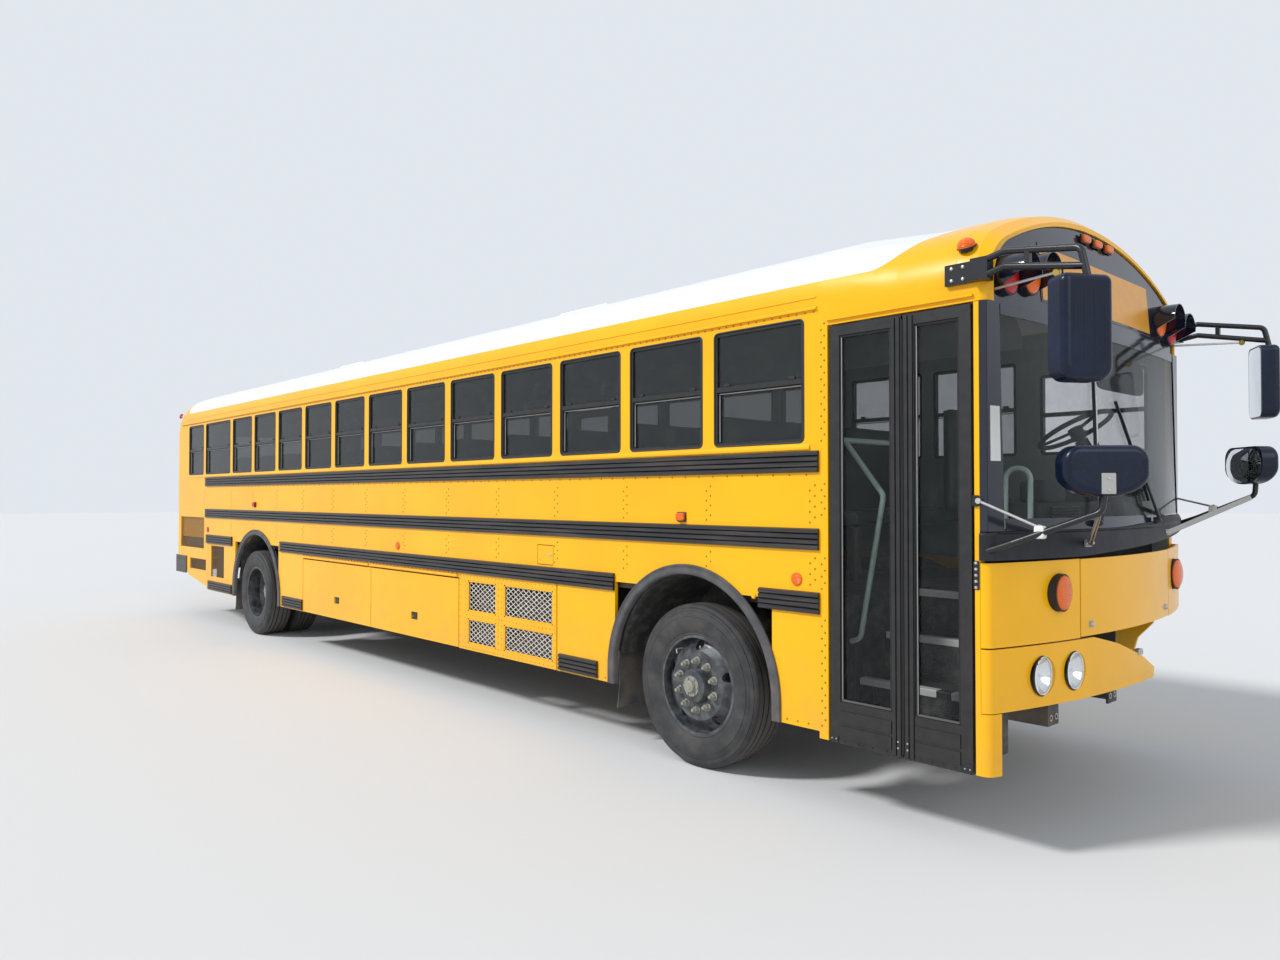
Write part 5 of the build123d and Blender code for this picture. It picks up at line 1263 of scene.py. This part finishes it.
def front_fittings():
    """The corner post's two plates, a round button behind the entrance and the bumper plates' rings."""
    shape = Shape()
    plaque(shape, (1.790, -HALF, 1.246), "right", (0.028, 0.128, 0.005),
           [(0, -0.001), (0, 0.003), (0.002, 0.005)], 0)
    studs(shape, [(1.790, -HALF - 0.005, 1.192 + 0.027 * k) for k in range(5)], (0, -1, 0), 0.0085, 1)
    plaque(shape, (1.790, -HALF, 1.575), "right", (0.030, 0.050, 0.006),
           [(0, -0.001), (0, 0.010), (0.003, 0.014)], 0)
    shape.lathe([(0.0, 0.010), (0.012, 0.008), (0.016, 0.0), (0.0, -0.001)], (0.504, -HALF, 1.050),
                (0, -1, 0), 16, 2)
    for side in (-1, 1):
        spots = [(1.7605, side * (0.380 + dy), z) for dy in (-0.030, 0.030) for z in (0.480, 0.640)]
        for at in spots:
            shape.sheet(turned([(0.017, 0.0), (0.017, 0.002), (0.0095, 0.002), (0.0095, 0.0)], at,
                               (1, 0, 0), 16), 1, ring=True, loop=True)
    return shape.make("front_fittings", ["arm_black", "bright_steel", "yellow_paint"])


# Mirrors
def mirror_frame(middle, turn, side):
    """Middle of a mirror's flat glass side, and its backward and across vectors."""
    a = math.radians(turn)
    back = np.array([math.cos(a), side * math.sin(a), 0.0])
    across = np.array([math.sin(a), -side * math.cos(a), 0.0]) * side
    face = np.array([middle[0], side * -middle[1], middle[2]]) - back * MIRROR_DEPTH / 2
    return face, back, across


def mirror_fittings():
    """Mirror glass, back plates, clamps, stay rods, braces and bracket bolts on both sides."""
    shape = Shape()
    for side in (-1, 1):
        lift = np.array([0, 0, BUCKLE if side > 0 else 0.0])
        place = np.array([1, -side, 1.0])
        for (middle, turn, width, height, radius), raised in ((REAR_VIEW, 0 * lift), (CROSS_VIEW, lift)):
            face, back, across = mirror_frame(middle, turn, side)
            up = np.array([0, 0, 1.0])
            out_across = np.cross(up, -back)
            bulge = [(0.002, 0.002)]
            if radius > 0.05:
                bulge = [(0.015, 0.008), (0.040, 0.016), (0.065, 0.020), (0.090, 0.021)]
            plaque(shape, face + raised, (out_across, up), (width - 0.020, height - 0.020, radius),
                   [(0, -0.001), (0, 0.001)] + bulge, 0)
            if middle is CROSS_VIEW[0]:
                plaque(shape, face + raised + back * (MIRROR_DEPTH - 0.0005) - up * 0.052,
                       (np.cross(up, back), up), (0.058, 0.086, 0.004),
                       [(0, -0.002), (0, 0.003), (0.001, 0.004)], 1)
                for dz in (-0.028, 0.020):
                    studs(shape, [face + raised + back * (MIRROR_DEPTH + 0.004) - up * (0.052 - dz)], back,
                          0.006, 2)
            else:
                for k in range(4):
                    offset = (k - 1.5) * 0.046
                    path = np.array([face + back * (MIRROR_DEPTH - 0.0035) + across * offset + up * dz
                                     for dz in np.linspace(-0.165, 0.175, 8)])
                    shape.solid(tube(path, [0.001] + [0.006] * 6 + [0.001], 8), 3)
        for x in (1.690, 1.745, 1.800):
            for z in (2.566, 2.620):
                studs(shape, [(x, side * 1.2405, z)], (0, side, 0), 0.0095, 2)
        stay = np.array([(1.850, -1.150, 2.518), (2.178, -1.280, 2.512)]) * place
        shape.solid(tube(np.linspace(stay[0], stay[1], 5), 0.0065, 8), 2)
        shape.lathe([(0.0, 0.012), (0.014, 0.012), (0.016, 0.008), (0.016, -0.008), (0.014, -0.012),
                     (0.0, -0.012)], stay[1], (0, 1, 0.2), 12, 4)
        rod = np.array([(1.806, -1.2300, 1.575), (2.050, -1.172, 1.462)]) * place + lift
        rod[0] -= lift * 0.8
        shape.solid(tube(np.linspace(rod[0], rod[1], 5), 0.0060, 8), 2)
        for end in rod:
            shape.lathe([(0.0, 0.006), (0.013, 0.006), (0.014, 0.0), (0.013, -0.006), (0.0, -0.006)], end,
                        (0, 1, 0), 12, 2)
        clamp = np.array([2.050, side * 1.166, 1.440]) + lift
        low, high = clamp - (0.022, 0.018, 0.026), clamp + (0.022, 0.018, 0.030)
        shape.pillow(low, high, 6.0, 7.0, 10, 20, 5)
        knee = np.array([2.262, side * 1.088, 1.512]) + lift
        foot_y = -0.530 if side < 0 else 0.560
        foot_z = 1.372 if side < 0 else 1.395
        foot = np.array([float(front_x(foot_y, foot_z)) + 0.020, foot_y, foot_z])
        for shift in (-0.012, 0.012):
            ends = np.linspace(knee + (0, shift, 0.006), foot + (0, shift * 1.6, 0), 4)
            shape.solid(bar(ends, [(-0.002, -0.013), (0.002, -0.013), (0.002, 0.013), (-0.002, 0.013)]), 1)
        plaque(shape, foot - (0.006, 0, 0), "front", (0.090, 0.034, 0.005),
               [(0, -0.003), (0, 0.004), (0.001, 0.005)], 1)
        studs(shape, [foot + (0.0, dy, 0) for dy in (-0.034, 0.034)], (1, 0, 0), 0.009, 2)
    finishes = ["mirror_glass", "dull_aluminium", "bright_steel", "mirror_black", "brass", "strip_white"]
    return shape.make("mirror_fittings", finishes)


# Seats and cabin
def cushion(low, high, crown, channels=(), pull=0.012, rows=18, columns=40):
    """A stuffed pad: a pillow crowned on top, drawn in between its corners and sewn along channels.

    The top rises by the crown times a bow, which falls from one in the middle to none at the edges
    with the square of the way out; the sides lose the pull by a like bow; each channel takes away a
    narrow bell across the pad.
    """
    low, high = np.asarray(low, float), np.asarray(high, float)
    grid = soft_box(low + (0.004, 0.004, 0.004), high - (0.004, 0.004, 0.004 + crown), 4.5, 9.0, rows,
                    columns)
    centre, half = (low + high) / 2, (high - low) / 2
    u, v = (grid[..., 0] - centre[0]) / half[0], (grid[..., 1] - centre[1]) / half[1]
    w = (grid[..., 2] - centre[2]) / half[2]
    bow = np.clip(1 - u * u, 0, 1) * np.clip(1 - v * v, 0, 1)
    grid[..., 2] += crown * bow * (w > 0)
    grid[..., 0] -= np.sign(u) * pull * np.clip(1 - v * v, 0, 1) * (np.abs(u) > 0.7) * (1 - w * w)
    grid[..., 1] -= np.sign(v) * pull * np.clip(1 - u * u, 0, 1) * (np.abs(v) > 0.7) * (1 - w * w)
    for place in channels:
        grid[..., 2] -= 0.006 * np.exp(-(((v - place) / 0.035) ** 2)) * (w > 0)
    return grid


def upright(grid, foot, front):
    """Stands a flat pad on its rear edge, so that its crowned side faces forward or back."""
    x, y, z = grid[..., 0], grid[..., 1], grid[..., 2]
    return np.stack([foot[0] + z * front, y, foot[2] + x], -1)


def benches():
    """Two rows of bench seats and the driver's seat: crowned cushions with piping, and backs."""
    pads, backs = Shape(), Shape()
    for side in (-1, 1):
        y0, y1 = sorted((side * 0.190, side * 1.150))
        for k in range(12):
            x = FIRST_BENCH - PITCH * k
            seat_z = CABIN_FLOOR + 0.330
            if side > 0 and k == EMERGENCY_BAY:
                flat = cushion((0.0, y0, 0.0), (0.385, y1, 0.126), 0.022)
                pads.sheet(upright(flat, (x + 0.097, 0, seat_z + 0.020), 1), 0, ring=True)
            else:
                flat = cushion((x + 0.095, y0, seat_z), (x + 0.480, y1, seat_z + 0.130), 0.022)
                pads.sheet(flat, 0, ring=True)
                gasket(pads, (x + 0.2875, (y0 + y1) / 2, seat_z + 0.098), "up", (0.372, 0.946, 0.045),
                       bead(0.0035), 0)
            back = cushion((0.0, y0, 0.0), (0.680, y1, 0.083), 0.014, (), 0.008)
            backs.sheet(upright(back, (x + 0.001, 0, seat_z), 1), 0, ring=True)
    low, high = (0.850, 0.320, CABIN_FLOOR + 0.400), (1.300, 0.800, CABIN_FLOOR + 0.510)
    pads.sheet(cushion(low, high, 0.024, (-0.55, 0.55)), 0, ring=True)
    back = cushion((0.0, 0.330, 0.0), (0.690, 0.790, 0.098), 0.018, (-0.5, 0.5))
    backs.sheet(upright(back, (0.741, 0, CABIN_FLOOR + 0.405), 1), 0, ring=True)
    for shape, name in ((pads, "seat_cushions"), (backs, "seat_backs")):
        made = shape.make(name, "seat_vinyl", BODY, ["seat_pads"], "seat_vinyl", soft=0.9)


def lining():
    """Pale inner panels under and over the windows, and the ceiling on the roof's own curve."""
    shape = Shape()
    for side in (-1, 1):
        y = side * (HALF - LINING_IN)
        x1 = 0.93 if side < 0 else 1.60
        for z0, z1 in ((1.160, 1.868), (2.526, 2.600)):
            lower = np.stack(np.meshgrid(np.linspace(-8.40, x1, 40), np.linspace(z0, z1, 4)), -1)
            grid = np.stack([lower[..., 0], np.full(lower.shape[:2], y), lower[..., 1]], -1)
            if side > 0 and z1 < 2.0:
                door = window_spans()[EMERGENCY_BAY]
                for a, b in ((-8.40, door[0]), (door[1], x1)):
                    part = grid.copy()[:, :12]
                    part[..., 0] = np.linspace(a, b, 12)
                    shape.slab(part, (0, -side * LINING_THICK, 0), 0)
            else:
                shape.slab(grid, (0, -side * LINING_THICK, 0), 0)
    front, rear = HATCHES
    edge, well = 0.985, 0.235  # turns on the roof where the ceiling ends, at the walls and at a hatch
    spans = [(CEILING_REAR, rear - HATCH_HALF, -edge, edge, 20, 45),
             (rear + HATCH_HALF, front - HATCH_HALF, -edge, edge, 20, 45),
             (front + HATCH_HALF, CEILING_FRONT, -edge, edge, 20, 45)]
    spans += [(x - HATCH_HALF, x + HATCH_HALF, *turns, 3, 20) for x in HATCHES
              for turns in ((-edge, -well), (well, edge))]
    for x0, x1, t0, t1, rows, columns in spans:
        span = [[roof_point(x, t, -LINING_IN)[0] for t in np.linspace(t0, t1, columns)]
                for x in np.linspace(x0, x1, rows)]
        shape.slab(np.array(span), (0, 0, -LINING_THICK), 1)
    return shape.make("cabin_lining", ["lining_green", "ceiling_white"], soft=0.9)


def driver_place():
    """Instrument hood with dials, switch console, louvred heater, lever, inner mirror and sun visor."""
    shape = Shape()
    hood = [(1.560, 1.555), (1.420, 1.500), (1.405, 1.520), (1.400, 1.600), (1.420, 1.640), (1.520, 1.670),
            (1.650, 1.640), (1.690, 1.560)]
    ends = np.array([[0.0, y, 0.0] for y in (0.330, 0.345, 0.755, 0.770)])
    shrink = np.array([0.92, 1.0, 1.0, 0.92])[:, None, None]
    outline = np.array([(x, 0.0, z) for x, z in hood])
    hub = outline.mean(0)
    shape.solid(ends[:, None] + hub + (outline - hub)[None] * shrink)
    for y, r in ((0.455, 0.052), (0.645, 0.052), (0.550, 0.030)):
        at = (1.399, y, 1.575 if r > 0.04 else 1.610)
        shape.lathe([(0.0, 0.001), (r * 0.9, 0.001), (r * 0.9, -0.004), (0.0, -0.004)], at, (-1, 0, 0.08),
                    28, 1)
        collar(shape, at, (-1, 0, 0.08), r * 0.95, 0.004, 2, 28)
    shape.pillow((1.505, 0.860, 1.545), (1.700, 1.120, 1.640), 6.0, 8.0)
    for k in range(8):
        plaque(shape, (1.560, 0.890 + 0.028 * k, 1.641), "up", (0.030, 0.018, 0.003),
               [(0, -0.002), (0, 0.003), (0.002, 0.006)], 2)
    for k in range(6):
        z = 1.455 + 0.016 * k
        shape.solid(plate((1.722, -0.32, z), (1.738, 0.02, z + 0.006)), 3)
    shape.pillow((1.560, -0.330, 1.556), (1.700, -0.050, 1.680), 7.0, 8.0)
    lever = rounded([(1.30, 0.22, CABIN_FLOOR), (1.30, 0.22, 1.45), (1.22, 0.24, 1.56)], 0.08)
    shape.solid(tube(lever, 0.012, 10))
    shape.pillow((1.19, 0.215, 1.545), (1.25, 0.265, 1.60), 2.5, 2.5, 10, 16)
    plaque(shape, (1.730, 0.050, 2.385), ((0, -1, 0), (0.10, 0, 1)), (0.760, 0.150, 0.060),
           [(0.006, -0.020), (0, -0.014), (0, 0.0), (0.006, 0.004)], 0)
    plaque(shape, (1.724, 0.050, 2.385), ((0, -1, 0), (0.10, 0, 1)), (0.740, 0.132, 0.055),
           [(0, 0.0), (0.002, 0.001)], 4)
    shape.pillow((1.715, 0.300, 2.200), (1.730, 1.000, 2.400), 7.0, 9.0, slot=5)
    for y in (0.340, 0.960):
        shape.solid(tube(np.linspace((1.735, y, 2.410), (1.722, y, 2.390), 3), 0.006, 8), 2)
    finishes = ["inner_black", "dial_white", "bright_steel", "arm_black", "mirror_glass", "seal_rubber"]
    return shape.make("driver_place", finishes)


# Doors, lids and the rear
def storage_latches():
    """Latch plates with their handles, and the rivets along the hinge, of both luggage doors."""
    for name, x in (("storage_door_rear", -4.774), ("storage_door_front", -3.250)):
        low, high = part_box(name)
        shape = Shape()
        plaque(shape, (x, -HALF + 0.0135, 0.582), "right", (0.104, 0.060, 0.008),
               [(0, -0.001), (0, 0.002), (0.002, 0.0035)], 0)
        plaque(shape, (x + 0.010, -HALF + 0.010, 0.590), "right", (0.064, 0.030, 0.007),
               [(0, 0.0), (0, 0.006), (0.003, 0.010)], 0)
        studs(shape, [(x - 0.036, -HALF + 0.0105, 0.575)], (0, -1, 0), 0.007, 1)
        count = int((high.x - low.x) / 0.18)
        for k in range(count + 1):
            at = low.x - AXLE + 0.03 + (high.x - low.x - 0.06) * k / count
            studs(shape, [(at, -HALF - 0.0002, high.z - 0.018)], (0, -1, 0), 0.0045, 2)
        shape.make(f"{name}_latch", ["arm_black", "bright_steel", "yellow_paint"], name)


def fuel_flap_lock():
    """Round lock and two hinge rivets of the fuel flap."""
    shape = Shape()
    low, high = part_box("fuel_flap")
    x, z = (low.x + high.x) / 2 - AXLE, (low.z + high.z) / 2
    studs(shape, [(x - 0.062, -HALF - 0.0002, z - 0.035), (x - 0.062, -HALF - 0.0002, z + 0.035)],
          (0, -1, 0), 0.006, 0)
    plaque(shape, (x + 0.055, -HALF, z), "right", (0.022, 0.022, 0.0105),
           [(0, -0.001), (0, 0.002), (0.002, 0.003)], 1)
    shape.make("fuel_flap_lock", ["yellow_paint", "bright_steel"], "fuel_flap")


def engine_door_latches():
    """Two latches and the hinge rivets of the engine door."""
    shape = Shape()
    low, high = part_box("engine_door")
    back = low.x - AXLE
    for y in (-0.60, 0.60):
        plaque(shape, (back, y, low.z + 0.075), "rear", (0.090, 0.055, 0.010),
               [(0, -0.001), (0, 0.004), (0.004, 0.009)], 0)
        plaque(shape, (back - 0.007, y, low.z + 0.075), "rear", (0.055, 0.026, 0.006),
               [(0, 0.0), (0, 0.006), (0.003, 0.009)], 1)
    studs(shape, [(back, y, high.z - 0.02) for y in np.arange(-0.68, 0.69, 0.08)], (-1, 0, 0), 0.005, 2)
    shape.make("engine_door_latches", ["arm_black", "bright_steel", "yellow_paint"], "engine_door")


def emergency_handle():
    """Window gasket, lock plate and grip of the side emergency door."""
    shape = Shape()
    low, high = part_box("emergency_door")
    x0, x1 = low.x - AXLE, high.x - AXLE
    gasket(shape, ((x0 + x1) / 2, HALF - 0.004, 2.167), "left", (x1 - x0 - 0.130, 0.556, 0.028),
           bead(0.007), 0)
    plaque(shape, (x0 + 0.090, HALF, 1.560), "left", (0.060, 0.120, 0.012),
           [(0, -0.001), (0, 0.004), (0.004, 0.008)], 1)
    grip = rounded([(x0 + 0.075, HALF + 0.004, 1.610), (x0 + 0.075, HALF + 0.040, 1.600),
                    (x0 + 0.185, HALF + 0.040, 1.600), (x0 + 0.200, HALF + 0.028, 1.600)], 0.014)
    shape.solid(tube(grip, 0.008, 10), 2)
    shape.make("emergency_handle", ["seal_rubber", "arm_black", "bright_steel"], "emergency_door")


def hatch_hinges():
    """Two hinge plates with their bolts on each roof hatch."""
    for name in ("hatch_front", "hatch_rear"):
        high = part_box(name)[1]
        shape = Shape()
        top = high.z
        for y in (-0.200, 0.200):
            plaque(shape, (high.x - AXLE, y, top - 0.030), "front", (0.080, 0.024, 0.004),
                   [(0, -0.002), (0, 0.003), (0.002, 0.005)], 0)
            studs(shape, [(high.x - AXLE + 0.005, y + dy, top - 0.030) for dy in (-0.025, 0.025)],
                  (1, 0, 0), 0.005, 1)
        shape.make(f"{name}_hinges", ["dull_aluminium", "bright_steel"], name)


def stop_arm_border():
    """White border of the eight-sided sign and its two red lamps."""
    shape = Shape()
    x, y, z = 0.030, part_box("stop_arm")[1].y, 1.570
    t = np.arange(8) * math.pi / 4 + math.pi / 8
    rings = [np.stack([x + r * np.cos(t), np.full(8, y + h), z + r * np.sin(t)], -1)
             for r, h in ((0.2215, 0.0008), (0.2060, 0.0008), (0.2060, -0.0005), (0.2215, -0.0005))]
    shape.sheet(np.stack(rings), 0, ring=True, loop=True)
    for dz in (-0.150, 0.150):
        dome(shape, (x, y + 0.001, z + dz), (0, 1, 0), 0.038, 0.010, 0.006, 1, 24)
    shape.make("stop_arm_border", ["strip_white", "lamp_red"], "stop_arm")


def rear_dress():
    """Rear window gasket, the blank plate, and the rivets along the seams of the rear wall."""
    shape = Shape()
    gasket(shape, (BACK + 0.004, 0.0, 2.145), "rear", (1.112, 0.622, 0.060), bead(0.014), 0)
    for y in (-1.14, -0.78, 0.78, 1.14):
        studs(shape, [(BACK, y, z) for z in np.arange(0.82, 2.45, 0.075)], (-1, 0, 0), 0.0050, 1)
    for z in (1.515, 1.790):
        studs(shape, [(BACK, y, z) for y in np.arange(-1.10, 1.11, 0.075)], (-1, 0, 0), 0.0050, 1)
    plaque(shape, (BACK, -0.955, 1.405), "rear", (0.310, 0.160, 0.010),
           [(0, -0.001), (0, 0.003), (0.002, 0.004)], 2)
    return shape.make("rear_dress", ["seal_rubber", "yellow_paint", "dull_aluminium"])


# Floor, light and camera
def camera():
    """Camera of the photograph: at eye height off the front right corner."""
    data = bpy.data.cameras.new("camera")
    data.sensor_width = CAMERA_SENSOR
    data.lens = CAMERA_LENS
    data.clip_end = 400.0
    made = bpy.data.objects.new("camera", data)
    bpy.context.scene.collection.objects.link(made)
    made.location = (AXLE + CAMERA_PLACE[0], CAMERA_PLACE[1], CAMERA_PLACE[2])
    yaw, pitch = math.radians(CAMERA_TURN), math.radians(CAMERA_RISE)
    look = Vector((math.sin(yaw) * math.cos(pitch), math.cos(yaw) * math.cos(pitch), math.sin(pitch)))
    made.rotation_mode = "QUATERNION"
    made.rotation_quaternion = look.to_track_quat("-Z", "Y")
    bpy.context.scene.camera = made


def studio():
    """Pale floor, a soft high key from the door side, a weaker fill and a pale surrounding."""
    mesh = bpy.data.meshes.new("floor_sheet")
    size = 90.0
    corners = [(-size, -size, 0), (size, -size, 0), (size, size, 0), (-size, size, 0)]
    mesh.from_pydata(corners, [], [[0, 1, 2, 3]])
    ground = bpy.data.objects.new("floor_sheet", mesh)
    bpy.context.scene.collection.objects.link(ground)
    pale = {"Base Color": (0.70, 0.70, 0.70), "Roughness": 0.8}
    mesh.materials.append(material("studio_floor", lambda here: pale))
    for name, angle, strength, wide in (("key", (48, 0, -28), 2.6, 9.0), ("fill", (62, 0, 70), 0.7, 40.0)):
        data = bpy.data.lights.new(name, "SUN")
        data.energy = strength
        data.angle = math.radians(wide)
        lamp = bpy.data.objects.new(name, data)
        lamp.rotation_euler = [math.radians(a) for a in angle]
        bpy.context.scene.collection.objects.link(lamp)
    world = bpy.data.worlds.new("studio")
    bpy.context.scene.world = world
    world.use_nodes = True
    tree = world.node_tree
    tree.nodes.clear()
    path = Wire(tree).node("LightPath")
    seen = path.tree.nodes[-1].outputs
    clear = Wire(tree, seen["Is Camera Ray"]).math("MAXIMUM", Wire(tree, seen["Is Transmission Ray"]))
    clear = clear.math("MAXIMUM", Wire(tree, seen["Is Glossy Ray"]))
    shown = clear.node("Background", None, {"Color": (0.76, 0.80, 0.86, 1), "Strength": 1.0})
    light = clear.node("Background", None, {"Color": (0.85, 0.92, 1.0, 1), "Strength": 0.55})
    both = clear.node("MixShader", None, {0: clear, 1: light, 2: shown})
    clear.node("OutputWorld", None, {"Surface": both})
    bpy.context.scene.view_settings.view_transform = "Standard"


def dress_nodes():
    """Every CAD node takes the finish of its own slot, but the front cap and rear wall take the roof's, and
    each tyre the finish of its axle.
    """
    slots = {row["node"]: row["material_slot"] for row in frame["record"]["subparts"]}
    for name, made in NODES.items():
        key = slots[name]
        if name in ("front_cap", "rear_wall"):
            key = "white_paint"
        if key == "tyre":
            key = "tyre_front" if name.startswith("front") else "tyre_rear"
        made.data.materials.clear()
        made.data.materials.append(M[key])


dress_nodes()
camera()
studio()
tyres()
wheel_fittings()
lattice()
side_rivets()
roof_seams()
drip_mouldings()
window_trim()
door_trim()
step_edges()
flares()
headlamps()
lamp_sets()
front_dress()
cowl_lip()
wipers()
torn_corner()
panel_knobs()
front_fittings()
mirror_fittings()
benches()
lining()
driver_place()
storage_latches()
fuel_flap_lock()
engine_door_latches()
emergency_handle()
hatch_hinges()
stop_arm_border()
rear_dress()
